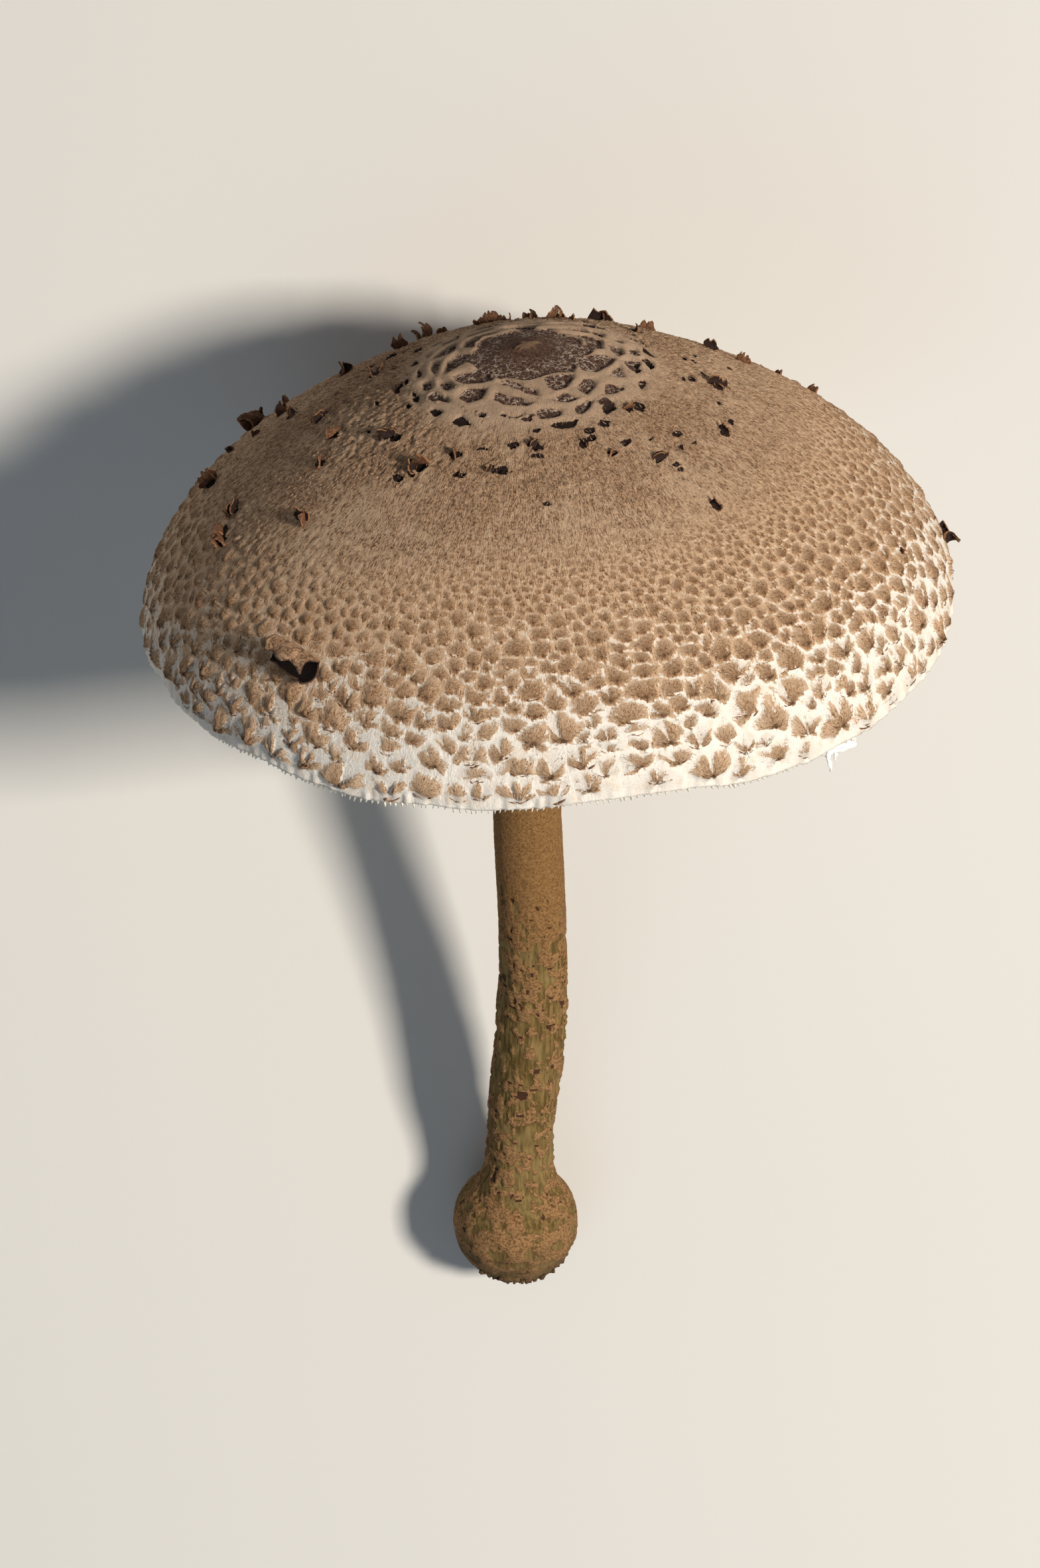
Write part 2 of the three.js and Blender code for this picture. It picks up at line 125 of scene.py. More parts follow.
def hashed(cells, seed):
    """A number from 0 to 1 for every whole-numbered cell."""
    mixed = cells[..., 0] * 73856093 ^ cells[..., 1] * 19349663 ^ cells[..., 2] * 83492791
    mixed = (mixed ^ (seed * 2654435761)) & 0xFFFFFFFF
    mixed = ((mixed ^ (mixed >> 16)) * 73244475) & 0xFFFFFFFF
    mixed = ((mixed ^ (mixed >> 16)) * 73244475) & 0xFFFFFFFF
    return (mixed ^ (mixed >> 16)) / 0xFFFFFFFF


def noise(points, seed=0):
    """Smooth noise from -1 to 1, with features about one unit across."""
    points = np.asarray(points, float)
    cell = np.floor(points).astype(np.int64)
    part = points - cell
    part = part * part * (3 - 2 * part)
    total = 0
    for corner in product((0, 1), repeat=3):
        weight = np.prod(np.where(corner, part, 1 - part), axis=-1)
        total = total + weight * hashed(cell + corner, seed)
    return 2 * total - 1


def srgb(*channels):
    """A colour given in 0 to 255 as the linear colour that a shader takes."""
    linear = []
    for channel in channels:
        share = channel / 255
        linear.append(share / 12.92 if share < 0.0404 else ((share + 0.055) / 1.055) ** 2.4)
    return (*linear, 1.0)


def deselect():
    """Leaves edit mode and deselects everything."""
    if bpy.context.object and bpy.context.object.mode != "OBJECT":
        bpy.ops.object.mode_set(mode="OBJECT")
    bpy.ops.object.select_all(action="DESELECT")


def coordinates(mesh):
    """The places of a mesh's vertices."""
    flat = np.empty(3 * len(mesh.vertices))
    mesh.vertices.foreach_get("co", flat)
    return flat.reshape(-1, 3)


def set_coordinates(mesh, points):
    """Moves a mesh's vertices to new places."""
    mesh.vertices.foreach_set("co", np.asarray(points, np.float32).ravel())
    mesh.update()


def give(mesh, name, values):
    """A named number, or vector, on every vertex."""
    values = np.asarray(values, np.float32)
    if values.ndim == 2:
        mesh.attributes.new(name, "FLOAT_VECTOR", "POINT").data.foreach_set("vector", values.ravel())
    else:
        mesh.attributes.new(name, "FLOAT", "POINT").data.foreach_set("value", values)


def mesh_piece(name, points, faces):
    """A new piece from points of the growing frame and faces that all have the same corner count."""
    mesh = bpy.data.meshes.new(name)
    faces = np.asarray(faces, np.int32)
    mesh.vertices.add(len(points))
    set_coordinates(mesh, points)
    mesh.loops.add(faces.size)
    mesh.loops.foreach_set("vertex_index", faces.ravel())
    mesh.polygons.add(len(faces))
    mesh.polygons.foreach_set("loop_start", np.arange(0, faces.size, faces.shape[1], dtype=np.int32))
    mesh.update(calc_edges=True)
    mesh.validate()
    piece = bpy.data.objects.new(name, mesh)
    bpy.context.scene.collection.objects.link(piece)
    return piece


def finish_piece(piece, material, node=None):
    """Lays a piece down, presses it on the surface, gives it its material and attaches it to the root body,
    hiding the imported part it replaces if one is named.
    """
    grown = coordinates(piece.data)
    give(piece.data, "grown", grown)
    laid = lay_down(grown)
    laid[:, 2] = np.maximum(laid[:, 2], 0)
    set_coordinates(piece.data, laid)
    piece.data.polygons.foreach_set("use_smooth", [True] * len(piece.data.polygons))
    piece.data.materials.clear()
    piece.data.materials.append(material)
    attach(piece, "root")
    if node:
        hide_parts(node)
    return piece


# ------------------------------------------------------------------ the cap's form
def cap_form(w, azimuth):
    """The cap's outer form. w runs from 0 at the crown to 1 at the rim."""
    t = np.sin(w * np.pi / 2)
    right, back = np.cos(azimuth), np.sin(azimuth)
    radius = CAP_RADIUS * (1 + CAP_SKEW * right * t) * t
    shape = np.maximum(1 - t ** (CAP_POWER + CAP_POWER_SWING * right), 0) ** CAP_ROUNDNESS
    height = CAP_HEIGHT * shape + RIM_LIFT * right * t**3
    ray = xyz(right, back, 0)
    wave = 1.9 * noise(2.9 * ray, 31) + 1.1 * noise(8.0 * ray, 32)
    height = height + wave * smooth(0.7, 1, w) * (0.5 - 0.5 * back)
    return xyz(radius * right, radius * back, height)


ARC_W = np.linspace(0, 1, 801)
ARC_LINE = cap_form(ARC_W, np.full(801, -np.pi / 2))
ARC = np.concatenate([[0], np.cumsum(np.linalg.norm(np.diff(ARC_LINE, axis=0), axis=1))])
ARC_LENGTH = ARC[-1]


def w_at(arc):
    """The cap form's w at an arc."""
    return np.interp(arc, ARC, ARC_W)


def radius_at(arc):
    """Distance from the cap's axis at an arc, without the skew."""
    return CAP_RADIUS * np.sin(w_at(arc) * np.pi / 2)


def cap_frame(arc, azimuth):
    """Point on the form, and the directions down the surface, round it and out of it."""
    w = w_at(arc)
    inner = np.clip(w, 0.004, 0.994)
    point = cap_form(w, azimuth)
    down = cap_form(inner + 0.004, azimuth) - cap_form(inner - 0.004, azimuth)
    down /= np.linalg.norm(down, axis=-1, keepdims=True)
    turned = xyz(-np.sin(azimuth), np.cos(azimuth), 0)
    out = np.cross(down, turned)
    out /= np.linalg.norm(out, axis=-1, keepdims=True)
    return point, down, turned, out


def under_flesh(w, azimuth, below=0.0):
    """The under surface of the flesh, or one that lies below it: the cap's form drawn smaller."""
    across = 1 - (FLESH_RIM + below) / CAP_RADIUS
    centred = (1 - np.sin(w * np.pi / 2)) ** 2
    thinning = FLESH_OUTER_SHARE + (1 - FLESH_OUTER_SHARE) * centred
    upright = 1 - (FLESH_CENTRE * thinning + below) / CAP_HEIGHT
    return cap_form(w, azimuth) * xyz(across, across, upright)


# ------------------------------------------------------------------ what grows on the cap
FLATTER, WIDER = 1.2, 0.9  # weights that make the scales wider than they are tall
FAR = 9.0  # a distance, in sizes, past every neighbour
BATCH = 1000  # points whose neighbours are looked up together


def scale_size(arc):
    """Width of a scale at an arc: small near the felt, large near the rim."""
    return np.clip(0.1 * arc - 4.9, 1.7, 6.4)


def scatter(seed, low, high, size_at, tries):
    """Places from arc low to high that keep their sizes clear of each other: arcs, azimuths, sizes."""
    random = np.random.default_rng(seed)
    arcs = random.uniform(low, high, tries)
    crowd = radius_at(arcs) / size_at(arcs) ** 2
    arcs = arcs[random.random(tries) < crowd / crowd.max()]
    azimuths = random.uniform(-np.pi, np.pi, len(arcs))
    sizes = size_at(arcs) * random.uniform(0.7, 1.3, len(arcs))
    kept = np.empty((3, len(arcs)))
    count = 0
    for arc, azimuth, size, radius in zip(arcs, azimuths, sizes, radius_at(arcs)):
        across = turned_from(kept[1, :count], azimuth) * radius
        apart = np.hypot(WIDER * across, FLATTER * (kept[0, :count] - arc))
        if (apart > 0.41 * (kept[2, :count] + size)).all():
            kept[:, count] = arc, azimuth, size
            count += 1
    return kept[:, np.argsort(kept[0, :count])]


def turned_from(azimuth, middle):
    """The way round from one azimuth to another, from -pi to pi."""
    return (azimuth - middle + np.pi) % TURN - np.pi


def nearest(arc, azimuth, places, along_weight, round_weight, reach=2.4):
    """The nearest place, the distance to its border, and the distance to its border with higher places.

    Distances are in the places' sizes."""
    place_arc, place_azimuth, place_size = places
    found = np.zeros(len(arc), int)
    border, crest = np.full((2, len(arc)), FAR)
    order = np.argsort(arc)
    for start in range(0, len(arc), BATCH):
        rows = order[start : start + BATCH]
        margin = reach * np.interp(arc[rows].max() + 8, place_arc, place_size)
        close = np.nonzero(np.abs(place_arc - arc[rows].mean()) < margin + np.ptp(arc[rows]))[0]
        if not len(close):
            continue
        middle = 0.5 * (radius_at(arc[rows])[:, None] + radius_at(place_arc[close])[None])
        across = turned_from(azimuth[rows, None], place_azimuth[None, close]) * middle
        along = arc[rows, None] - place_arc[None, close]
        distance = np.hypot(along * along_weight, across * round_weight) / place_size[None, close]
        index = np.arange(len(rows))
        best = np.argmin(distance, axis=1)
        found[rows] = close[best]
        least = distance[index, best]
        distance[index, best] = FAR
        halfway = (distance - least[:, None]) / 2
        lower = (place_arc[None, close] - place_arc[found[rows], None]) / place_size[None, close]
        border[rows] = halfway.min(axis=1)
        crest[rows] = (halfway + 0.45 * np.clip(lower + 0.55, 0, 1)).min(axis=1)
    return found, border, crest


def net_places():
    """Middles of the net's cells, in rings round the disc."""
    random = np.random.default_rng(21)
    arcs, azimuths = [], []
    for arc, count in ((16.2, 9), (19.9, 13), (23.4, 17), (27.0, 20), (30.8, 22)):
        for i in range(count):
            arcs.append(arc + random.uniform(-1.2, 1.2))
            azimuths.append((i + random.uniform(-0.36, 0.36)) / count * TURN - np.pi)
    order = np.argsort(arcs)
    return np.array(arcs)[order], np.array(azimuths)[order], np.ones(len(arcs))


SCALES = scatter(3, SCALES_FROM, ARC_LENGTH - WHITE_MARGIN, scale_size, 110000)
SEEDS = np.random.default_rng(4).uniform(0, 50, len(SCALES[0]))
FOCUS = 0.4  # how far below a scale's middle its fibres' focus lies, in its sizes
BAYS = ([55, 80, 95, 104, 112], [0.45, 0.4, 0.12, -0.14, -0.36])  # arcs, and how rare bays are there
NET = net_places()
STRANDS = ([12, 17, 22, 27, 32], [0.8, 0.9, 1.15, 1.55, 2.1])  # arcs, and half the net's strands' width


class Scales:
    """Where points of the cap lie in their scales.

    A scale is a fan: its fibres spread up the cap from a focus at its lower edge, fill its cell and
    fade into the flesh at the upper border, some with white bays between their lobes."""

    def __init__(self, arc, azimuth):
        radius = radius_at(arc)
        spot = xyz(radius * np.cos(azimuth), radius * np.sin(azimuth), arc)
        warp = 0.2 * scale_size(arc)
        bent_arc = arc + warp * (noise(spot * 0.3, 41) + 0.5 * noise(spot * 0.8, 42))
        sideways = warp * (noise(spot * 0.3, 43) + 0.5 * noise(spot * 0.8, 44))
        bent_azimuth = azimuth + sideways / np.maximum(radius, 1)
        index, self.border, self.crest = nearest(bent_arc, bent_azimuth, SCALES, FLATTER, WIDER)
        scale_arc, scale_azimuth, self.size = SCALES[:, index]
        self.seed = SEEDS[index]
        up = (scale_arc + FOCUS * self.size - arc) / self.size
        across = turned_from(azimuth, scale_azimuth) * radius / self.size
        self.angle = np.arctan2(across, up)
        self.reach = np.hypot(up, across)
        self.share = self.reach / (self.reach + 1.9 * np.maximum(self.crest, 0) + 1e-6)
        lobes = noise(xyz(self.angle * 3 + self.seed, self.seed * 3, self.share * 0.7), 14)
        rare = np.interp(arc, *BAYS)
        opened = self.share + 0.3 * noise(spot * 0.7, 15) - 0.85
        self.bay = lobes - rare + 0.9 * opened  # above 0 in a bay


# Dark flakes that stand up from the felt: arc, azimuth in degrees, width and how far they curl.
FLAKES = [
    (63, -146, 4.6, 0.3), (74, -167, 4.6, 0.9), (80, -161, 4.4, 0.7), (78, -163, 3.4, 0.5),
    (81, 175, 5.0, 0.9), (79, 152, 6.5, 1.0), (84, 147, 5.0, 0.8), (55, 144, 4.6, 0.7),
    (55, 124, 3.6, 0.6), (51, 118, 5.0, 0.9), (53, 113, 3.4, 0.4), (44, 101, 4.6, 0.8), (45, 95, 3.6, 0.5),
    (43, 88, 4.8, 0.9), (42, 79, 4.2, 0.8), (36, 74, 3.0, 0.5), (46, 68, 6.0, 0.9), (36, 46, 3.4, 0.8),
    (29, 26, 2.2, 0.4), (29, -41, 3.4, 0.6), (43, -48, 4.0, 0.9), (34, -69, 2.8, 0.5),
    (38, -61, 2.8, 0.6), (32, -88, 3.0, 0.5), (39, -102, 2.8, 0.5), (36, -116, 3.6, 0.6),
    (41, -126, 5.0, 0.6), (37, -148, 4.8, 0.5), (38, 161, 3.8, 0.6), (29, -177, 3.2, 0.5),
    (59, -45, 3.2, 0.7), (47, -22, 3.4, 0.7), (42, 2, 4.6, 0.8), (56, 40, 3.8, 0.7), (57, 60, 4.0, 0.6),
    (80, 40, 4.0, 0.7), (107, 4, 4.6, 1.0), (92, -17, 2.4, 0.5), (49, 178, 4.2, 0.7),
    (60, 165, 4.2, 0.7), (66, 158, 4.6, 0.8), (46, -166, 3.8, 0.6), (52, -158, 3.6, 0.5),
]


def spots():
    """Pits where the felt has come away, painted near-black as shade: under the flakes, and more that are
    scattered.
    """
    random = np.random.default_rng(5)
    rows = [(arc, math.radians(turn), 0.42 * width, 0.3 * width) for arc, turn, width, _ in FLAKES]
    for _ in range(95):
        arc = 24 + 27 * random.random() ** 1.5
        width = random.uniform(0.6, 1.7)
        rows.append((arc, random.uniform(-np.pi, np.pi), width, width * random.uniform(0.4, 0.8)))
    return rows


SPOTS = spots()


def crown_relief(arc, azimuth, flat, spread):
    """The disc, the net round it and the felt: their height over the form and their masks."""
    # The disc, with a small pale star at its middle.
    edge = DISC_RADIUS + 1.6 * noise(spread * [0.1, 0.1, 0], 2)
    disc = 1 - smooth(edge - 0.4, edge + 0.4, arc)
    star = 1 - smooth(1.3, 2.6, arc + 1.1 * noise(spread * [0.11, 0.11, 0], 3))
    crown_lift = 0.1 + 0.35 * star + 0.04 * noise(flat * 0.9, 4)

    # The net: strands along the borders of its cells, dark islands inside them.
    _, border, _ = nearest(arc, azimuth, NET, 1.3, 0.75, 9)
    joined = 4 * smooth(-0.1, 0.3, noise(spread * [0.07, 0.07, 0], 17))  # where cells open into the disc
    border = np.minimum(border, arc - edge + joined) + 0.3 * noise(flat * 0.5, 5)
    half_width = np.interp(arc, *STRANDS) * (1 + 0.3 * noise(flat * 0.16, 6))
    island = smooth(half_width - 0.12, half_width + 0.14, border) * (1 - disc)
    island = island * (1 - smooth(NET_TO - 3, NET_TO - 1, arc + 2 * noise(flat * 0.1, 16)))
    netted = (1 - disc) * (1 - smooth(NET_TO - 6, NET_TO + 1, arc))
    pillow = np.sqrt(np.clip(1 - (border / half_width) ** 2, 0, 1))
    strand_lift = 0.25 + 0.8 * pillow * (1 - 0.55 * smooth(20, 32, arc))

    # The felt outside it, in small tufts.
    tufts = noise(spread * [1.3, 1.3, 0.75], 7) + 0.7 * noise(flat * 1.7, 8)
    felt_lift = FELT_LIFT + 0.28 * tufts * smooth(16, 40, arc)
    outer = (1 - disc) * (1 - island) * (strand_lift * netted + felt_lift * (1 - netted))
    lift = crown_lift * disc + outer + island * 0.03
    return lift, {"disc": disc, "star": star, "strand": netted * (1 - island), "pit": island}


def dig_spots(arc, azimuth, flat, lift, pit):
    """Lowers the skin where the felt is gone, inside a raised lip, and marks the place as a pit."""
    radius = radius_at(arc)
    for spot_arc, spot_azimuth, half_width, half_height in SPOTS:
        across = turned_from(azimuth, spot_azimuth) * radius / half_width
        far = across**2 + ((arc - spot_arc) / half_height) ** 2
        near = far < 5
        ragged = far[near] * (1 + 0.55 * noise(flat[near] * 1.5, 9))
        inside = 1 - smooth(0.7, 1.15, ragged)
        lip = smooth(0.7, 1.1, ragged) * (1 - smooth(1.3, 2.6, ragged))
        pit[near] = np.maximum(pit[near], inside)
        lift[near] += 0.25 * lip - 0.4 * inside


def cap_relief(arc, azimuth):
    """Height of the skin over the form, the masks that its colours follow, and the fibres' own places."""
    radius = radius_at(arc)
    right, back = np.cos(azimuth), np.sin(azimuth)
    flat = xyz(right * radius, back * radius, 0)
    spread = xyz(right * 30, back * 30, arc)  # one direction runs down the surface
    lift, masks = crown_relief(arc, azimuth, flat, spread)
    dig_spots(arc, azimuth, flat, lift, masks["pit"])

    fans = Scales(arc, azimuth)
    scaled = smooth(SCALES_FROM, SCALES_FROM + 10, arc)
    bare = smooth(ARC_LENGTH - 3.2, ARC_LENGTH - 1.6, arc + 1.2 * noise(flat * 0.25, 21))
    above = 1 - smooth(2.0, 2.7, np.abs(fans.angle))  # 0 straight below a focus
    lobe = above * (1 - smooth(-0.25, 0.15, fans.bay))
    body = np.clip(fans.border / 0.3, 0, 1) * np.clip(1.02 - fans.share, 0, 1) ** 1.3 * lobe
    rise = 0.16 * fans.size * body * (1 - bare) * smooth(48, 85, arc) * (1 + 0.35 * noise(flat * 0.9, 20))
    scale_lift = rise + bare * 0.35 * noise(flat * 0.8, 22) + 0.06 * noise(flat * 1.1, 12)
    lift = lift * (1 - scaled) + scaled * scale_lift
    masks["scaled"] = scaled
    masks["bare"] = bare
    masks["worn"] = arc - 20 * smooth(0.1, 1, -right)  # the left side keeps its felt further down
    masks["share"] = np.clip(fans.share, 0, 1)
    masks["crest"] = fans.crest * fans.size
    masks["border"] = fans.border * fans.size * above
    masks["bay"] = fans.bay
    masks["root"] = np.exp(-((fans.reach / 0.11) ** 2))
    wavy = 1.6 * noise(flat * 0.7, 18) + 0.8 * noise(flat * 1.6, 19)
    streak = xyz(fans.angle * 16 + fans.seed * 5 + wavy, fans.reach * 6.5, fans.seed)
    return lift, masks, streak


# ------------------------------------------------------------------ materials
class Value:
    """A socket of a material, with arithmetic that adds the nodes it needs."""

    def __init__(self, shader, socket):
        self.shader = shader
        self.socket = socket

    def __add__(self, other):
        return self.shader.math("ADD", self, other)

    def __sub__(self, other):
        return self.shader.math("SUBTRACT", self, other)

    def __rsub__(self, other):
        return self.shader.math("SUBTRACT", other, self)

    def __mul__(self, other):
        return self.shader.math("MULTIPLY", self, other)

    __radd__ = __add__
    __rmul__ = __mul__


class Shader:
    """A material that is being built."""

    def __init__(self, name, roughness):
        self.material = bpy.data.materials.new(name)
        self.material.use_nodes = True
        self.tree = self.material.node_tree
        self.surface = self.tree.nodes["Principled BSDF"]
        self.surface.inputs["Roughness"].default_value = roughness
        self.surface.inputs["Specular IOR Level"].default_value = 0.08

    def node(self, kind, settings=None, inputs=(), output=0):
        """Any node: its settings first, then the values or links of its sockets."""
        made = self.tree.nodes.new(kind)
        for key, value in (settings or {}).items():
            setattr(made, key, value)
        pairs = inputs.items() if isinstance(inputs, dict) else enumerate(inputs)
        for key, value in pairs:
            self.put(made.inputs[key], value)
        return Value(self, made.outputs[output])

    def put(self, socket, value):
        if isinstance(value, Value):
            self.tree.links.new(value.socket, socket)
        else:
            socket.default_value = value

    def math(self, operation, *values):
        return self.node("ShaderNodeMath", {"operation": operation}, values)

    def vector_math(self, operation, inputs):
        return self.node("ShaderNodeVectorMath", {"operation": operation}, inputs)

    def number(self, name):
        return self.node("ShaderNodeAttribute", {"attribute_name": name}, output="Fac")

    def vector(self, name):
        return self.node("ShaderNodeAttribute", {"attribute_name": name}, output="Vector")

    def stretched(self, vector, x, y, z):
        return self.vector_math("MULTIPLY", [vector, self.node("ShaderNodeCombineXYZ", inputs=[x, y, z])])

    def noise(self, vector, scale, detail=3.0, roughness=0.55):
        inputs = {"Vector": vector, "Scale": scale, "Detail": detail, "Roughness": roughness}
        return self.node("ShaderNodeTexNoise", inputs=inputs)

    def cracks(self, vector, scale):
        """Distance to the border of random cells."""
        inputs = {"Vector": vector, "Scale": scale}
        return self.node("ShaderNodeTexVoronoi", {"feature": "DISTANCE_TO_EDGE"}, inputs)

    def step(self, value, low, high):
        """0 up to low, 1 from high on, and a smooth rise between them."""
        inputs = {"Value": value, "From Min": low, "From Max": high}
        return self.node("ShaderNodeMapRange", {"interpolation_type": "SMOOTHSTEP"}, inputs)

    def mix(self, factor, first, second):
        return self.node("ShaderNodeMix", {"data_type": "RGBA"}, {0: factor, 6: first, 7: second}, 2)

    def relief(self, height, distance):
        """A bump as deep as distance, in millimetres."""
        return self.node("ShaderNodeBump", inputs={"Distance": distance * MM, "Height": height})

    def done(self, colour, normal=None):
        self.put(self.surface.inputs["Base Color"], colour)
        if normal is not None:
            self.put(self.surface.inputs["Normal"], normal)
        return self.material


WHITE_FLESH = srgb(238, 230, 219)
CREAM_FLESH = srgb(226, 194, 161)
FELT_LIGHT = srgb(220, 186, 153)
FELT = srgb(202, 163, 129)
FELT_DARK = srgb(116, 87, 66)
FAN_LIGHT = srgb(232, 193, 157)
FAN_PALE = srgb(234, 199, 163)
FAN_BROWN = srgb(207, 162, 122)
FAN_DARK = srgb(122, 86, 58)
TIP_DARK = srgb(118, 86, 64)
PAINTED_PIT_SHADE = srgb(50, 38, 35)
DISC_WARM = srgb(140, 106, 84)
DISC_BROWN = srgb(140, 107, 90)
DISC_DARK = srgb(78, 57, 51)
NET_PALE = srgb(208, 180, 156)
CRACK_PALE = srgb(222, 200, 178)


def felt_colour(shader, worn, felt_fine, grain, grit, soft):
    """Tan felt, with pale flames where it begins to part."""
    fibre = shader.vector("fibre")
    blotch = shader.noise(shader.vector("grown"), 0.045, 3)
    tufts = shader.step(grain * 0.45 + felt_fine * 0.35 + grit * 0.2, 0.43, 0.55)
    lit = shader.step(soft * 0.4 + felt_fine * 0.45 + blotch * 0.4, 0.58, 0.74)
    flame = shader.noise(shader.stretched(fibre, 1.0, 1.0, 2.6), 0.75, 3, 0.6)
    flames = shader.step(flame + (felt_fine - 0.5) * 0.3, 0.5, 0.62) * shader.step(worn, 34.0, 60.0)
    felt = shader.mix(tufts, FELT_DARK, FELT)
    felt = shader.mix(lit * 0.85, felt, FELT_LIGHT)
    return shader.mix(flames * 0.75, felt, CREAM_FLESH)


def fan_colours(shader, worn, fan_fine, felt_fine, grain, grit, soft):
    """Fans of brown fibres on the flesh. Returns their colour, their insides and how pale they are."""
    share = shader.number("share")
    border = shader.number("border")
    inside = shader.step(border, 0.2, 0.7)
    fine = (fan_fine - 0.5) * inside * 1.3 + (felt_fine - 0.5) * (1 - inside)
    fine = fine + (grain - 0.5) * 0.55 + (grit - 0.5) * 0.4
    outward = shader.step(worn + (soft - 0.5) * 30, 64.0, 98.0)
    rimward = shader.step(worn + (soft - 0.5) * 16, 88.0, 106.0)

    # The fibres are dark at the focus and on the lower lip, and paler towards their tips.
    fan = shader.mix(shader.step(fine, -0.28, 0.16), FAN_DARK, FAN_BROWN)
    tips = shader.step(share + fine * 1.6 + rimward * 0.15, 0.2, 0.75)
    fan = shader.mix(tips, fan, FAN_LIGHT)
    streaks = shader.step(fine + share * 0.3, -0.06, 0.2)
    fan = shader.mix(streaks * (outward * 0.15 + rimward * 0.4), fan, FAN_PALE)
    lip = shader.number("root") + (1 - shader.step(border, 0.05, 0.5)) * (1 - share) * 0.4
    lip = shader.step(lip + (grain - 0.5) * 0.9 + fine * 0.8, 0.28, 0.72)
    fan = shader.mix(lip * 0.8, fan, TIP_DARK)

    # Flesh shows above the tips, under the lower lip, in the bays and along the rim.
    flesh = shader.mix(outward, CREAM_FLESH, WHITE_FLESH)
    flesh = shader.mix(shader.step(soft + fine * 0.4, 0.45, 0.75) * 0.4, flesh, CREAM_FLESH)
    halo = 1 - shader.step(shader.number("crest"), 0.0, outward * 0.75 + rimward * 0.9 + 0.3)
    lower = (1 - shader.step(border, 0.0, 0.32)) * rimward
    bay = shader.step(shader.number("bay") + fine * 0.6, -0.16, 0.22)
    pale = shader.number("bare") * 2 + halo + lower + bay + fine * (0.9 + share * 1.8)
    pale = pale + share * (rimward * 0.6 + 0.2)
    fan = shader.mix(shader.step(pale, 0.1, 0.95), fan, CREAM_FLESH)
    return shader.mix(shader.step(pale, 0.4, 1.3), fan, flesh), inside, pale


def crown_colours(shader, arc, grain, soft):
    """The dark skin of the disc and of the net's islands, and its fine pale cracks; further out the islands
    and the spots are painted near-black, as painted shade in the pits and under the flakes.
    """
    grown = shader.vector("grown")
    swirl = {"Vector": grown, "Scale": 0.8, "Detail": 3.0}
    swirl = shader.node("ShaderNodeTexNoise", inputs=swirl, output="Color")
    wandering = shader.vector_math("ADD", [grown, shader.vector_math("SCALE", {0: swirl, "Scale": 2.2})])
    far = shader.step(arc + (soft - 0.5) * 6, 4.0, 9.0)
    partly = shader.step(shader.noise(grown, 0.7, 2), 0.42, 0.56)
    cracks = (1 - shader.step(shader.cracks(wandering, 0.85), 0.02, 0.12)) * partly * far
    crown = shader.mix(shader.step(grain, 0.4, 0.65), DISC_DARK, DISC_BROWN)
    crown = shader.mix(cracks, crown, CRACK_PALE)
    crown = shader.mix((1 - far) * shader.step(grain, 0.35, 0.65) * 0.6, crown, DISC_WARM)
    # From arc 22 to 27 the pits and islands turn into a painted near-black shade.
    in_crown = 1 - shader.step(arc, 22.0, 27.0)
    return shader.mix(in_crown, PAINTED_PIT_SHADE, crown), cracks


def skin_material():
    shader = Shader("cap_skin", 0.9)
    grown = shader.vector("grown")
    arc = shader.number("arc")
    worn = shader.number("worn")
    disc = shader.number("disc")
    felt_fine = shader.noise(shader.vector("fibre"), 3.4, 4, 0.68)
    fan_fine = shader.noise(shader.vector("streak"), 1.0, 4, 0.78)
    grain = shader.noise(grown, 1.7, 4, 0.7)
    grit = shader.noise(grown, 4.2, 3, 0.7)
    soft = shader.noise(grown, 0.42, 3, 0.6)

    felt = felt_colour(shader, worn, felt_fine, grain, grit, soft)
    fan, inside, pale = fan_colours(shader, worn, fan_fine, felt_fine, grain, grit, soft)
    broken = shader.step(worn + (soft - 0.5) * 16 + (grain - 0.5) * 8, 50.0, 72.0) * shader.number("scaled")
    colour = shader.mix(broken, felt, fan)
    strand = shader.mix(felt_fine, NET_PALE, FELT_LIGHT)
    colour = shader.mix(shader.number("strand") * 0.7, colour, strand)
    crown, cracks = crown_colours(shader, arc, grain, soft)
    # The disc, the net's islands and the pits take the crown's colours, which further out are painted
    # shade.
    smooth_skin = shader.step(shader.number("pit") + disc + (grain - 0.5) * 0.4, 0.4, 0.6)
    colour = shader.mix(smooth_skin, colour, crown)
    colour = shader.mix(shader.number("star"), colour, shader.mix(grain, FELT, FELT_DARK))

    # The relief follows the felt's fibres, or the fans' own, and is weaker on the flesh.
    fanned = broken * inside
    furry = felt_fine * (1 - fanned) + fan_fine * fanned
    rough = (furry - 0.5) * 0.55 + (grain - 0.5) * 0.5 + (grit - 0.5) * 0.3
    rough = rough * (1 - shader.step(pale, 0.6, 1.3) * broken * 0.6)
    return shader.done(colour, shader.relief(rough + cracks * disc * 0.3, 1.05))


def fibre_material():
    shader = Shader("scale_fibre", 0.9)
    along = shader.number("along")
    tone = shader.number("tone")
    base = shader.mix(tone, FAN_DARK, FAN_BROWN)
    base = shader.mix(shader.step(along, 0.0, 0.2), TIP_DARK, base)
    colour = shader.mix(shader.step(along + (tone - 0.5) * 0.3, 0.3, 1.0) * 0.9, base, FAN_LIGHT)
    colour = shader.mix(shader.step(along + (tone - 0.5) * 0.4, 0.8, 1.15), colour, CREAM_FLESH)
    colour = shader.mix(shader.step(along, 0.96, 1.0) * shader.step(tone, 0.3, 0.5), colour, WHITE_FLESH)
    return shader.done(colour)


def hair_material():
    shader = Shader("felt_hair", 0.92)
    return shader.done(shader.mix(shader.number("tone"), FELT_DARK, FELT_LIGHT))


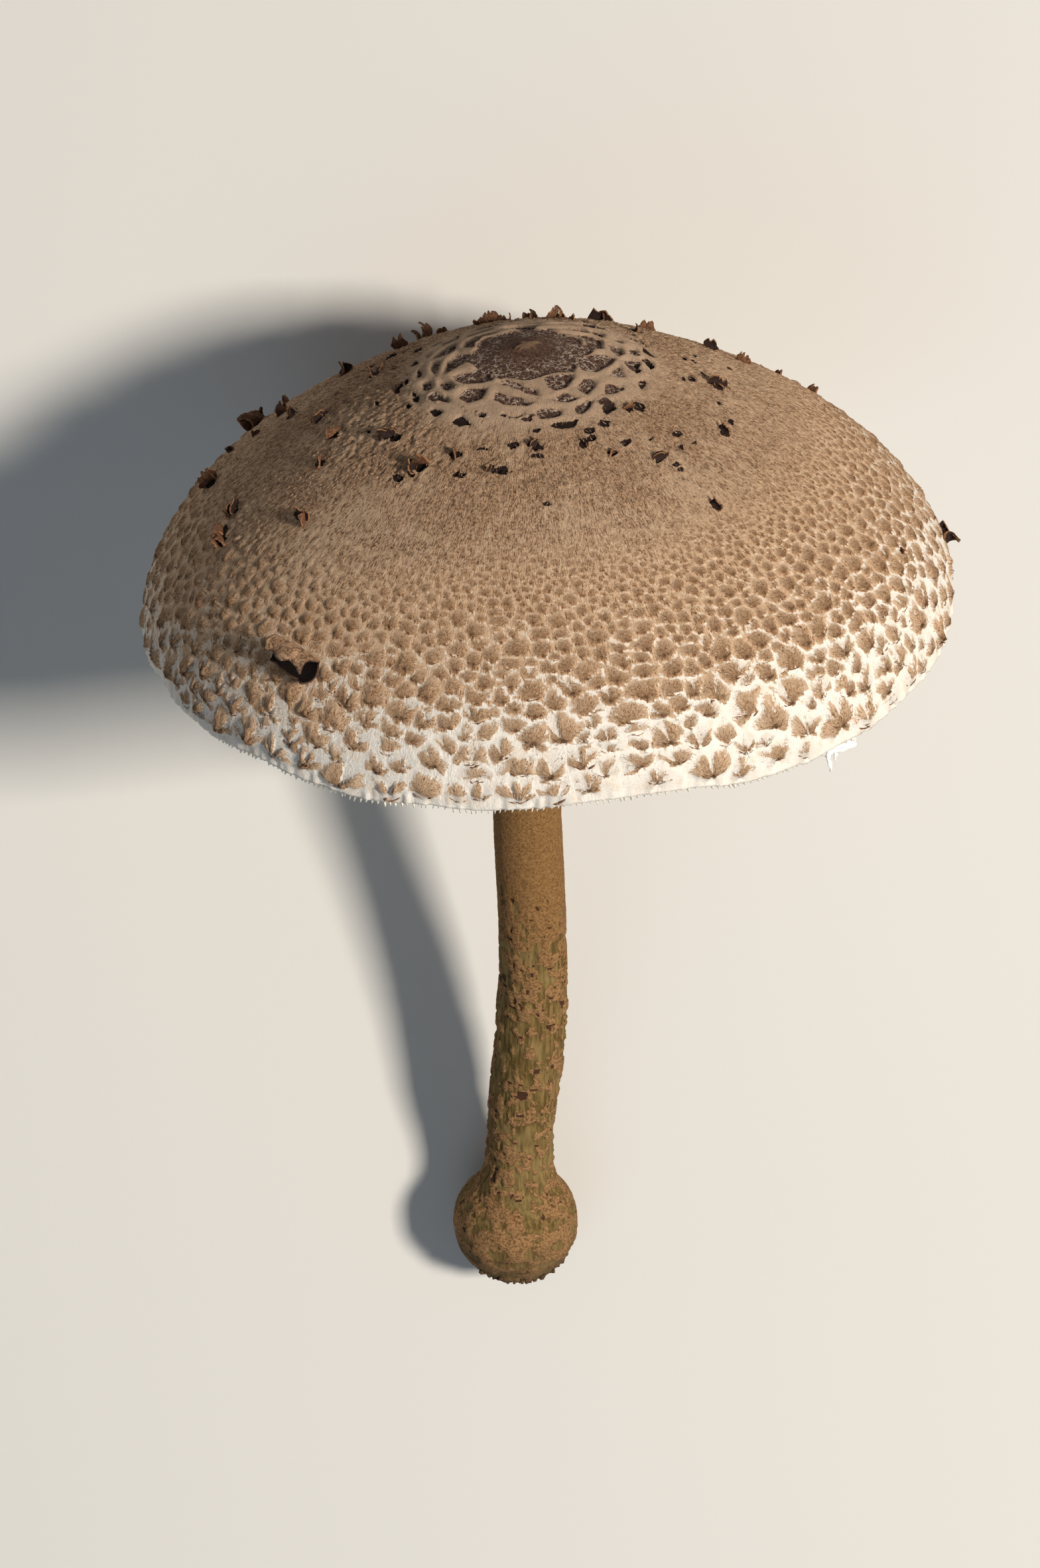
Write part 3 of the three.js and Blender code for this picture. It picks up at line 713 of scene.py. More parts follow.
def flake_material():
    shader = Shader("dark_flake", 0.8)
    grown = shader.vector("grown")
    grain = shader.noise(grown, 1.6, 4, 0.7)
    dark = shader.mix(grain, srgb(30, 23, 22), srgb(70, 52, 46))
    back = shader.mix(shader.step(grain, 0.35, 0.65), srgb(84, 56, 42), srgb(132, 94, 68))
    colour = shader.mix(shader.number("outside"), dark, back)
    rim = shader.step(shader.number("torn") + (grain - 0.5) * 0.8, 0.75, 1.05)
    colour = shader.mix(rim * 0.85, colour, srgb(172, 124, 86))
    return shader.done(colour, shader.relief(grain, 0.5))


def roll_material():
    shader = Shader("rolled_scale", 0.88)
    grown = shader.vector("grown")
    grain = shader.noise(grown, 1.8, 4, 0.7)
    coarse = shader.noise(grown, 0.6, 3, 0.6)
    felted = shader.step(grain * 0.6 + coarse * 0.4, 0.38, 0.62)
    back = shader.mix(felted, srgb(108, 80, 61), srgb(205, 164, 128))
    # The inside of the tube is painted near-black as shade, and its torn edges are darkened too.
    colour = shader.mix(shader.number("outside"), srgb(30, 24, 22), back)
    colour = shader.mix(shader.step(shader.number("torn"), 0.5, 1.0) * 0.6, colour, srgb(60, 42, 34))
    return shader.done(colour, shader.relief(grain, 0.6))


def veil_material():
    shader = Shader("veil_shred", 0.7)
    fluff = shader.noise(shader.vector("grown"), 1.8, 4, 0.6)
    colour = shader.mix(fluff, srgb(252, 251, 247), srgb(226, 220, 208))
    return shader.done(colour, shader.relief(fluff, 0.15))


def gill_material():
    shader = Shader("gill_flesh", 0.8)
    grown = shader.vector("grown")
    mottle = shader.noise(grown, 0.4, 3)
    depth = shader.number("depth")
    # Painted shade: the blades darken from their free edges towards their roots, where they meet the flesh.
    colour = shader.mix(shader.step(depth, 0.0, 0.8), srgb(205, 186, 156), srgb(243, 236, 220))
    colour = shader.mix(shader.step(mottle, 0.45, 0.75) * 0.5, colour, srgb(226, 208, 178))
    return shader.done(colour, shader.relief(shader.noise(grown, 2.5, 3), 0.12))


def stem_material():
    shader = Shader("stem_skin", 0.84)
    grown = shader.vector("grown")
    streak = shader.noise(shader.stretched(grown, 1.0, 1.0, 0.1), 1.3, 4, 0.6)
    grain = shader.noise(shader.stretched(grown, 1.0, 1.0, 1.2), 1.5, 4, 0.75)
    fine = shader.noise(grown, 3.2, 3, 0.6)
    blotch = shader.noise(grown, 0.09, 3)
    ground = shader.mix(shader.step(streak, 0.36, 0.66), srgb(84, 66, 34), srgb(132, 108, 66))
    ground = shader.mix(shader.step(blotch, 0.45, 0.7) * 0.5, ground, srgb(140, 120, 78))
    tufts = shader.step(grain * 0.7 + fine * 0.3, 0.34, 0.64)
    velvet = shader.mix(tufts, srgb(92, 64, 36), srgb(150, 112, 70))
    velvet = shader.mix(shader.step(streak, 0.45, 0.75) * 0.4, velvet, srgb(134, 102, 60))
    flaked = shader.mix(shader.step(grain, 0.34, 0.6), srgb(90, 64, 39), srgb(158, 120, 81))
    skin = shader.mix(shader.number("low"), velvet, flaked)
    cover = shader.step(shader.number("plate") + (grain - 0.5) * 0.8, 0.35, 0.6)
    colour = shader.mix(cover, ground, skin)
    hole = shader.step(shader.number("hole") + (grain - 0.5) * 0.9, 0.5, 0.72)
    colour = shader.mix(hole, colour, srgb(72, 48, 34))
    colour = shader.mix(shader.number("soiled"), colour, srgb(92, 72, 50))
    height = grain * 0.6 * cover + streak * 0.3 + fine * 0.2
    return shader.done(colour, shader.relief(height, 0.45))


def ring_material():
    shader = Shader("ring_veil", 0.88)
    grown = shader.vector("grown")
    fluff = shader.noise(grown, 1.6, 4, 0.7)
    colour = shader.mix(shader.step(fluff, 0.35, 0.7), srgb(216, 198, 166), srgb(240, 232, 214))
    brown = shader.step(shader.number("lip") + (fluff - 0.5) * 0.6, 0.4, 0.75)
    colour = shader.mix(brown, colour, srgb(150, 112, 78))
    return shader.done(colour, shader.relief(fluff, 0.3))


def soil_material():
    shader = Shader("soil", 0.95)
    grain = shader.noise(shader.vector("grown"), 1.4, 3, 0.7)
    colour = shader.mix(grain, srgb(52, 38, 26), srgb(104, 80, 56))
    return shader.done(colour, shader.relief(grain, 0.3))


# ------------------------------------------------------------------ the cap's skin
CROWN_CUTS = 8
CROWN_POLAR = math.radians(77)  # how much of the ball the crown is drawn from
CROWN_TO = 62.0  # arc at which the crown's skin passes under the brim's
BRIM_FROM, BRIM_TO = 61.0, 90.0
RIM_FROM = 89.0
RING_CUTS = 5  # cuts across each of a ring's first, coarse quads
CAP_COLUMNS = 1536
BRIM_ROWS, BRIM_UNDER_ROWS = 56, 4
RIM_ROWS, RIM_UNDER_ROWS = 52, 8


def ring_piece(name, around, rows):
    """A closed ring of quads, with its vertices' azimuths and rows. Both counts are multiples of six."""
    deselect()
    parts = RING_CUTS + 1
    bpy.ops.mesh.primitive_torus_add(major_segments=around // parts, minor_segments=rows // parts)
    piece = bpy.context.object
    piece.name = piece.data.name = name
    bpy.ops.object.mode_set(mode="EDIT")
    bpy.ops.mesh.select_all(action="SELECT")
    bpy.ops.mesh.subdivide(number_cuts=RING_CUTS)
    bpy.ops.object.mode_set(mode="OBJECT")
    ring = coordinates(piece.data)
    column = np.rint(np.arctan2(ring[:, 1], ring[:, 0]) / TURN * around)
    slant = np.arctan2(ring[:, 2], np.hypot(ring[:, 0], ring[:, 1]) - 1)
    return piece, column / around * TURN, np.rint(slant / TURN * rows).astype(int) % rows


def turn_outward(piece):
    """Points every face of a closed piece outwards."""
    deselect()
    bpy.context.view_layer.objects.active = piece
    piece.select_set(True)
    bpy.ops.object.mode_set(mode="EDIT")
    bpy.ops.mesh.select_all(action="SELECT")
    bpy.ops.mesh.normals_make_consistent(inside=False)
    bpy.ops.object.mode_set(mode="OBJECT")


def dress_cap(piece, grown, arc, azimuth, skin, masks, streak):
    """Gives a piece of the cap its shape and what its material follows. skin marks the outer side."""
    set_coordinates(piece.data, grown)
    below = {"scaled": 1.0, "bare": 1.0, "worn": ARC_LENGTH}  # the under side is flesh
    for name, values in masks.items():
        give(piece.data, name, np.where(skin, values, below.get(name, 0.0)))
    arc = np.where(skin, arc, ARC_LENGTH)
    give(piece.data, "arc", arc)
    give(piece.data, "fibre", xyz(60 * np.cos(azimuth), 60 * np.sin(azimuth), 0.22 * arc))
    give(piece.data, "streak", streak)
    turn_outward(piece)
    return finish_piece(piece, SKIN, "cap")


def cap_crown():
    """The middle of the cap: part of a ball of even triangles, drawn out and closed below."""
    deselect()
    bpy.ops.mesh.primitive_ico_sphere_add(subdivisions=CROWN_CUTS, radius=1)
    piece = bpy.context.object
    piece.name = piece.data.name = "cap_crown"
    cut = math.cos(CROWN_POLAR)
    bpy.ops.object.mode_set(mode="EDIT")
    bpy.ops.mesh.select_all(action="SELECT")
    bpy.ops.mesh.bisect(plane_co=(0, 0, cut), plane_no=(0, 0, 1), clear_inner=True)
    bpy.ops.mesh.select_all(action="SELECT")
    bpy.ops.mesh.remove_doubles(threshold=0.002)
    bpy.ops.mesh.select_all(action="DESELECT")
    bpy.ops.mesh.select_mode(type="EDGE")
    bpy.ops.mesh.select_non_manifold(extend=False)
    under_loops = [0.5, 0.3]  # the w of each loop of the under side after the first
    for _ in range(len(under_loops) + 1):
        bpy.ops.mesh.extrude_region_move(TRANSFORM_OT_translate={"value": (0, 0, -1)})
    bpy.ops.mesh.edge_face_add()
    bpy.ops.object.mode_set(mode="OBJECT")

    ball = coordinates(piece.data)
    loop = np.rint((cut - ball[:, 2]).clip(0) - 0.01).astype(int)  # 0 on the skin
    azimuth = np.arctan2(ball[:, 1], ball[:, 0])
    polar = np.arccos(np.clip(ball[:, 2], cut, 1)) / CROWN_POLAR
    arc = CROWN_TO * np.minimum(polar, 1) ** 1.1
    lift, masks, streak = cap_relief(arc, azimuth)
    point, _, _, out = cap_frame(arc, azimuth)
    grown = point + out * lift[:, None]
    skin = loop == 0
    grown[~skin] = under_flesh(np.full((~skin).sum(), w_at(CROWN_TO)), azimuth[~skin])
    for number, w in enumerate(under_loops, start=2):
        rows = loop == number
        grown[rows] = under_flesh(np.full(rows.sum(), w), azimuth[rows])
    return dress_cap(piece, grown, arc, azimuth, skin, masks, streak)


def cap_ring(name, low, high, rows, under_rows):
    """The cap's skin from arc low to high, and back along the under side of the flesh."""
    piece, azimuth, row = ring_piece(name, CAP_COLUMNS, rows + under_rows)
    skin = row < rows
    arc = low + (high - low) * np.minimum(row, rows - 1) / (rows - 1)
    lift, masks, streak = cap_relief(arc, azimuth)
    lift = np.where(row == 0, lift - 0.5, lift)  # the first row is tucked in
    point, _, _, out = cap_frame(arc, azimuth)
    grown = point + out * lift[:, None]
    under = np.clip((row - rows) / (under_rows - 1), 0, 1)
    w_high = min(w_at(high), 0.998)
    w = w_high + (w_at(low) - w_high) * under**1.3
    grown[~skin] = under_flesh(w, azimuth)[~skin]
    return dress_cap(piece, grown, arc, azimuth, skin, masks, streak)


# ------------------------------------------------------------------ fibres
# A fibre's faces: from its first point to a ring of three, and on to its tip.
FIBRE_FACES = [(0, 2, 1), (0, 3, 2), (0, 1, 3), (4, 1, 2), (4, 2, 3), (4, 3, 1)]
ALONG = np.array([0.0, 0.5, 1.0])  # a fibre's root, middle and tip
CORNER_PLACES = [0, 1, 1, 1, 2]  # which of these each corner belongs to


def fibres(name, material, arc, azimuth, lift, width, tone, along=ALONG):
    """Ridged fibres that lie on the skin. arc, azimuth and lift have a root, middle and tip for each."""
    count = len(arc)
    arc, azimuth = arc.ravel(), azimuth.ravel()
    base, _, _ = cap_relief(arc, azimuth)
    point, _, _, out = cap_frame(arc, azimuth)
    point = point + out * (base + lift.ravel())[:, None]
    point, out = point.reshape(count, 3, 3), out.reshape(count, 3, 3)
    side = np.cross(out[:, 1], point[:, 2] - point[:, 0])
    side /= np.linalg.norm(side, axis=-1, keepdims=True) + 1e-9
    shoulder = 0.5 * width[:, None] * side
    sunk = point[:, 1] - 0.06 * out[:, 1]
    crest = point[:, 1] + 0.3 * width[:, None] * out[:, 1]
    root = point[:, 0] - 0.08 * out[:, 0]
    tip = point[:, 2] - 0.04 * out[:, 2]
    corners = np.stack([root, sunk + shoulder, crest, sunk - shoulder, tip], axis=1)
    faces = np.array(FIBRE_FACES)[None] + 5 * np.arange(count)[:, None, None]
    piece = mesh_piece(name, corners.reshape(-1, 3), faces.reshape(-1, 3))
    give(piece.data, "along", np.tile(np.array(along)[CORNER_PLACES], count))
    give(piece.data, "tone", np.repeat(tone, len(CORNER_PLACES)))
    turn_outward(piece)
    return finish_piece(piece, material)


def places_on_cap(random, low, high, tries):
    """Random places on the cap from arc low to high, evenly spread over its surface."""
    arc = random.uniform(low, high, tries)
    arc = arc[random.random(tries) < radius_at(arc) / CAP_RADIUS]
    return arc, random.uniform(-np.pi, np.pi, len(arc))


def scale_lips():
    """The torn lower edges of the outer scales, as ragged cords that curve up at both ends."""
    random = np.random.default_rng(57)
    scale = np.repeat(np.nonzero(SCALES[0] > 70)[0], 5)
    total = len(scale)
    arc, azimuth, size = SCALES[:, scale]
    middle = random.uniform(-0.3, 0.3, total)
    across = middle[:, None] + random.uniform(0.06, 0.15, (total, 1)) * np.array([-1.0, 0.0, 1.0])
    up = 1.1 * across**2 - 0.03 + random.uniform(-0.03, 0.04, (total, 1))
    lip_arc = np.clip(arc[:, None] + size[:, None] * (FOCUS - up), 1, ARC_LENGTH - 0.3)
    lip_azimuth = azimuth[:, None] + size[:, None] * across / radius_at(lip_arc)
    width = np.clip(size * random.uniform(0.03, 0.06, total), 0.14, 0.4)
    lift = 0.02 * size[:, None] * random.uniform(0.2, 2.2, (total, 3))
    return fibres("scale_lips", FIBRE, lip_arc, lip_azimuth, lift, width, random.random(total), (0.1,) * 3)


def dark_tips():
    """Short dark hooks that curl off the lower tips of some scales."""
    random = np.random.default_rng(58)
    pick = np.nonzero((SCALES[0] > 50) & (random.random(len(SCALES[0])) < 0.3))[0]
    scale = np.repeat(pick, 4)
    total = len(scale)
    arc, azimuth, size = SCALES[:, scale]
    start = np.repeat(random.uniform(-0.2, 0.2, len(pick)), 4) + random.normal(0, 0.04, total)
    lean = np.repeat(random.uniform(-1.4, 1.4, len(pick)), 4) + random.normal(0, 0.35, total)
    length = (np.clip(0.2 * size, 0.5, 1.4) * random.uniform(0.4, 1.2, total))[:, None]
    tip_arc = (arc + (FOCUS - 0.08) * size)[:, None] + length * ALONG * np.cos(lean)[:, None]
    tip_arc = np.clip(tip_arc, 1, ARC_LENGTH - 0.3)
    across = (start * size)[:, None] + length * ALONG * np.sin(lean)[:, None]
    tip_azimuth = azimuth[:, None] + across / radius_at(tip_arc)
    lift = length * ALONG**1.6 * random.uniform(0.1, 0.6, (total, 1))
    width = random.uniform(0.08, 0.22, total)
    return fibres("dark_tips", FIBRE, tip_arc, tip_azimuth, lift, width, random.random(total), (0.0,) * 3)


def felt_hairs():
    """Short hairs that lie in the felt and point down the cap."""
    random = np.random.default_rng(31)
    arc, azimuth = places_on_cap(random, 14, 62, 34000)
    _, masks, _ = cap_relief(arc, azimuth)
    bald = (masks["pit"] + masks["disc"] > 0.25) | (arc < random.uniform(13, 33, len(arc)))
    arc, azimuth = arc[~bald], azimuth[~bald]
    count = len(arc)
    length = random.uniform(0.8, 1.9, count)[:, None]
    lean = random.normal(0, 0.4, count)[:, None]
    hair_arc = arc[:, None] + length * ALONG
    hair_azimuth = azimuth[:, None] + length * ALONG * np.sin(lean) / radius_at(hair_arc)
    lift = random.uniform(0.0, 0.2, (count, 1)) * ALONG**1.5
    width = random.uniform(0.08, 0.17, count)
    return fibres("felt_hairs", hair_material(), hair_arc, hair_azimuth, lift, width, random.random(count))


# ------------------------------------------------------------------ flakes, the rolled scale, the veil
def sheet(columns, rows):
    """A flat sheet of quads: across from -1 to 1, along from 0 to 1, and its faces."""
    deselect()
    bpy.ops.mesh.primitive_grid_add(x_subdivisions=columns, y_subdivisions=rows, size=2)
    pattern = bpy.context.object
    place = coordinates(pattern.data)
    quads = np.array([face.vertices[:] for face in pattern.data.polygons])
    bpy.data.objects.remove(pattern)
    return place[:, 0], (place[:, 1] + 1) / 2, quads


def thick_sheet(middle, normal, quads, gauge):
    """A closed slab: a sheet moved out and in by half its gauge and joined, with its border's points."""
    half = (0.5 * gauge)[:, None] * normal
    edges = {(int(a), int(b)) for quad in quads for a, b in zip(quad, np.roll(quad, -1))}
    border = [(a, b) for a, b in edges if (b, a) not in edges]
    count = len(middle)
    sides = np.array([(b, a, a + count, b + count) for a, b in sorted(border)])
    faces = np.concatenate([quads, quads[:, ::-1] + count, sides])
    return np.concatenate([middle + half, middle - half]), faces, sorted({a for a, _ in border})


def sheet_normals(middle, quads):
    """Unit normals at the points of a sheet."""
    corner = middle[quads]
    face = np.cross(corner[:, 2] - corner[:, 0], corner[:, 3] - corner[:, 1])
    normal = np.zeros_like(middle)
    for i in range(4):
        np.add.at(normal, quads[:, i], face)
    return normal / (np.linalg.norm(normal, axis=1, keepdims=True) + 1e-9)


def slabs_piece(name, slabs, material):
    """One piece of many slabs, with attributes for their under sides and their torn edges."""
    points, faces, outside, torn = [], [], [], []
    start = 0
    for block, quads, border in slabs:
        half = len(block) // 2
        points.append(block)
        faces.append(quads + start)
        outside.append(np.arange(len(block)) >= half)
        edge = np.zeros(len(block))
        edge[border] = 1
        edge[np.array(border) + half] = 1
        torn.append(edge)
        start += len(block)
    piece = mesh_piece(name, np.concatenate(points), np.concatenate(faces))
    give(piece.data, "outside", np.concatenate(outside))
    give(piece.data, "torn", np.concatenate(torn))
    turn_outward(piece)
    return finish_piece(piece, material)


def chip(random, across, along, quads, arc, azimuth, width, curl, heading):
    """A ragged chip of skin that is rooted in the felt and curls up from it."""
    spot = np.array([arc]), np.array([azimuth])
    (point,), (down,), (turned,), (out,) = cap_frame(*spot)
    base = cap_relief(*spot)[0][0]
    length = width * random.uniform(0.6, 0.95)
    seed = int(1000 * random.random())
    waist = 0.72 + 0.4 * np.sin(np.pi * (0.15 + 0.7 * along))
    waist = waist + 0.22 * noise(xyz(along * 4, across * 1.5, 0), seed)
    reach = 1 - 0.3 * across**2 + 0.34 * noise(xyz(across * 3.5, 0, 0), seed + 1)
    wide = 0.5 * width * across * waist
    run_length = along * length * np.clip(reach, 0.25, 1.3)
    lean = random.uniform(0.35, 1.0)
    bend = (0.2 + 1.9 * curl) / length
    run = (np.sin(lean + bend * run_length) - math.sin(lean)) / bend
    rise = (math.cos(lean) - np.cos(lean + bend * run_length)) / bend
    rise = rise + random.uniform(-0.05, 0.12) * wide**2
    crumple = 0.09 * width * noise(xyz(across * 2.2, along * 2.2, seed), 3)
    ahead = math.cos(heading) * down + math.sin(heading) * turned
    sideways = np.cross(ahead, out)
    middle = point + out * (base - 0.3) - 0.35 * length * ahead
    middle = middle + np.outer(wide, sideways) + np.outer(run, ahead) + np.outer(rise + crumple, out)
    gauge = random.uniform(0.4, 0.7) * (1 - 0.45 * along)
    return thick_sheet(middle, sheet_normals(middle, quads), quads, gauge)


def flakes():
    """The curled chips. The wide ones are two or three chips that share a root."""
    random = np.random.default_rng(13)
    across, along, quads = sheet(10, 9)
    places = list(FLAKES)
    for _ in range(12):
        arc, turn = random.uniform(34, 84), random.uniform(15, 165)
        places.append((arc, turn, random.uniform(2.4, 4.2), random.random()))
    slabs = []
    for arc, turn, width, curl in places:
        width = 0.86 * width
        azimuth = math.radians(turn)
        heading = random.uniform(0, TURN)
        for i in range(1 + (width > 3.6) + (width > 4.7)):
            near_arc = arc + random.normal(0, 0.18 * width) * (i > 0)
            near_azimuth = azimuth + random.normal(0, 0.3 * width) * (i > 0) / radius_at(near_arc)
            turned = heading + random.uniform(-1.3, 1.3) * (i > 0)
            part = width * (1 - 0.22 * i)
            slabs.append(chip(random, across, along, quads, near_arc, near_azimuth, part, curl, turned))
    return slabs_piece("dark_flakes", slabs, flake_material())


ROLL_ARC, ROLL_AZIMUTH = 92.0, math.radians(-127)


def rolled_scale():
    """A big scale that has rolled up: an open tube, lit on its back and painted near-black inside as shade.
    """
    across, along, quads = sheet(30, 22)
    (point,), (down,), (turned,), (out,) = cap_frame(np.array([ROLL_ARC]), np.array([ROLL_AZIMUTH]))
    axis = 0.985 * turned + 0.174 * down
    axis /= np.linalg.norm(axis)
    side = np.cross(out, axis)
    side *= -np.sign(side @ down)  # up the cap
    ragged = noise(xyz(across * 3.2, along * 2, 0), 5)
    swing = np.radians(102 + 14 * ragged - 262 * along)  # from the free top edge, behind and under
    girth = 2.7 + 0.3 * across + 0.35 * noise(xyz(across * 1.6, along * 2.4, 0), 6)
    length = 5.9 * across * (1 + 0.14 * noise(xyz(along * 5, np.sign(across), 0), 7))
    spoke = np.outer(np.cos(swing), side) + np.outer(np.sin(swing), out)
    place = point + 3.3 * out + np.outer(length, axis) + girth[:, None] * spoke
    gauge = 1.0 - 0.5 * np.maximum(along, np.abs(across))
    return slabs_piece("rolled_scale", [thick_sheet(place, -spoke, quads, gauge)], roll_material())


VEIL_STRIPS = [  # azimuth in degrees, sideways lean, length, width, curl
    (-47.6, 1.5, 8.6, 2.2, -0.15), (-47.0, -0.2, 5.2, 1.2, 0.6), (-46.2, 0.6, 3.0, 0.9, -1.4),
    (-43.6, 0.1, 2.8, 0.8, 2.6), (-42.4, -0.4, 2.2, 0.9, 1.2), (-44.8, 0.4, 1.8, 1.2, 0.5),
]


def veil_shred():
    """A torn white scrap of the veil that hangs from the rim at the front right."""
    across, along, quads = sheet(5, 22)
    steps = np.linspace(0, 1, 101)
    slabs = []
    for i, (turn, lean, length, width, curl) in enumerate(VEIL_STRIPS):
        rim = np.array([ARC_LENGTH]), np.array([math.radians(turn)])
        (point,), _, (turned,), _ = cap_frame(*rim)
        radial = point * [1, 1, 0] / np.linalg.norm(point[:2])
        fall = length * np.cumsum(np.cos(lean + curl * steps)) / len(steps)
        drift = length * np.cumsum(np.sin(lean + curl * steps)) / len(steps)
        low, off = np.interp(along, steps, fall), np.interp(along, steps, drift)
        heading = lean + curl * along**1.5
        half = 0.5 * width * (1 - 0.6 * along**2) * (1 + 0.3 * noise(xyz(along * 9, across, i), 8))
        sideways = off + across * half * np.cos(heading)
        upward = across * half * np.sin(heading) - low - 0.2
        wave = 0.35 * noise(xyz(along * 5, across * 0.8, i), 9) + 0.5 * along - 0.5
        middle = point + np.outer(sideways, turned) + np.outer(wave, radial) + xyz(0, 0, upward)
        slabs.append(thick_sheet(middle, sheet_normals(middle, quads), quads, np.full(len(across), 0.3)))
    return slabs_piece("veil_shred", slabs, veil_material())


# ------------------------------------------------------------------ gills
GILL_EDGE = [  # share of the way out to the rim, and height of the gills' lower edge there
    (0.118, 39), (0.16, 33), (0.24, 28.5), (0.4, 24), (0.6, 17.5), (0.78, 10.5), (0.9, 4.2),
    (0.98, -1.3), (1.03, -1.9),
]
GILL_STARTS = (0.075, 0.56, 0.3, 0.56)  # the w at which a full, short, middle and short gill begins
GILL_LEVELS = ((0.0, 0.3), (0.5, 0.2), (1.0, 0.09))  # depth in a blade, and half its thickness there
GILL_STATIONS = 12  # along a blade
GILL_INSET = 2.4  # between the rim and the end of the gills' edge


def gill_blade(number, azimuth, start):
    """Points of one blade: at each station, down one side and up the other."""
    w = start + (1.0 - start) * np.linspace(0, 1, GILL_STATIONS) ** 0.85
    root = under_flesh(w, np.full(GILL_STATIONS, azimuth), 0.9)
    root[-1] += [0.9 * math.cos(azimuth), 0.9 * math.sin(azimuth), -0.3]  # a tooth past the rim
    radius = np.hypot(root[:, 0], root[:, 1])
    share = radius / ((CAP_RADIUS - GILL_INSET) * (1 + CAP_SKEW * math.cos(azimuth)))
    rim = cap_form(np.array([1.0]), np.array([azimuth]))[0, 2]
    edge = np.interp(share, *np.array(GILL_EDGE).T) + rim * share**6
    edge += 0.35 * noise(xyz(radius * 0.3, number, 0), 3)
    grow = smooth(0, 0.22, (w - start) / (1 - start)) if number % 4 else 1
    edge = root[:, 2] + (edge - root[:, 2]) * grow
    sway = 0.32 * noise(xyz(radius * 0.16, number * 0.37, 0), 6)
    side = np.array([-math.sin(azimuth), math.cos(azimuth), 0])
    down, up = [], []
    for level, half in GILL_LEVELS:
        height = root[:, 2] + (edge - root[:, 2]) * level + 0.35 * (1 - level)
        middle = xyz(root[:, 0], root[:, 1], height) + np.outer(sway * level * 2, side)
        down.append(middle + half * side)
        up.append(middle - half * side)
    return np.stack(down + up[::-1], axis=1)


def gill_blades():
    """Thin waved blades of three lengths, each with its root in the flesh."""
    random = np.random.default_rng(17)
    count = len(GILL_STARTS) * GILLS
    blades = []
    for i in range(count):
        azimuth = (i + random.uniform(-0.16, 0.16)) / count * TURN
        start = GILL_STARTS[i % 4] + random.uniform(-0.04, 0.04) * (i % 4 > 0)
        blades.append(gill_blade(i, azimuth, start))
    # How far each point of a section lies from the root; the gill colour is painted darker, as shade, where
    # it is low.
    depth = [0, 0.5, 1, 1, 0.5, 0]
    ring = len(depth)
    faces = []
    for k in range(GILL_STATIONS - 1):
        for j in range(ring):
            a, b = ring * k + j, ring * k + (j + 1) % ring
            faces.append((a, b, b + ring, a + ring))
    last = ring * (GILL_STATIONS - 1)
    faces += [(5, 4, 1, 0), (4, 3, 2, 1), (last, last + 1, last + 4, last + 5)]
    faces.append((last + 1, last + 2, last + 3, last + 4))
    faces = np.array(faces)[None] + ring * GILL_STATIONS * np.arange(count)[:, None, None]
    piece = mesh_piece("gill_blades", np.reshape(blades, (-1, 3)), faces.reshape(-1, 4))
    give(piece.data, "depth", np.tile(depth, GILL_STATIONS * count))
    return finish_piece(piece, GILL, "gills")


BED_COLUMNS, BED_ROWS = 162, 15  # the rows are those on each side of the sheet
BED_TO = 0.992  # the w at which it ends


def gill_bed():
    """The thin flesh between the gills, as a closed sheet."""
    piece, azimuth, row = ring_piece("gill_bed", BED_COLUMNS, 2 * BED_ROWS)
    share = np.where(row < BED_ROWS, row, 2 * BED_ROWS - 1 - row) / (BED_ROWS - 1)
    w = GILL_STARTS[0] + (BED_TO - GILL_STARTS[0]) * share
    lower, upper = under_flesh(w, azimuth, 1.0), under_flesh(w, azimuth, 0.4)
    set_coordinates(piece.data, np.where((row < BED_ROWS)[:, None], lower, upper))
    # The bed between the blades is painted in the darkest of the gills' painted shade.
    give(piece.data, "depth", np.zeros(len(row)))
    turn_outward(piece)
    return finish_piece(piece, GILL)


# ------------------------------------------------------------------ stem
STEM_COLUMNS, STEM_ROWS = 132, 350
BULB_SHARE = 0.12  # of the rows
BULB_TURN = 0.5  # the bulb's rows begin at this angle above its middle
# Heights, and there: how closed the skin is, how rare its holes are, how far its plates stand up.
STEM_COVER = ([-175, -150, -120, -100, -84, -66], [0.1, -0.1, -0.2, 0.0, 0.45, 1.2])
STEM_HOLES = ([-175, -150, -96, -78, -62], [0.66, 0.48, 0.48, 0.7, 1.3])
STEM_ROUGH = ([-165, -110, -60, 40], [0.5, 0.4, 0.12, 0.06])


def stem_at(height):
    """The stem's radius and sideways bend at a height, bulb and all."""
    heights, radii, bends = np.array(STEM_LINE)[::-1].T
    ball = np.sqrt(np.clip(BULB_RADIUS**2 - (height - BULB_Z) ** 2, 0, None))
    radius = np.maximum(np.interp(height, heights, radii), ball)
    below = height < BULB_Z
    return np.where(below, ball, radius), np.where(below, BULB_X, np.interp(height, heights, bends))


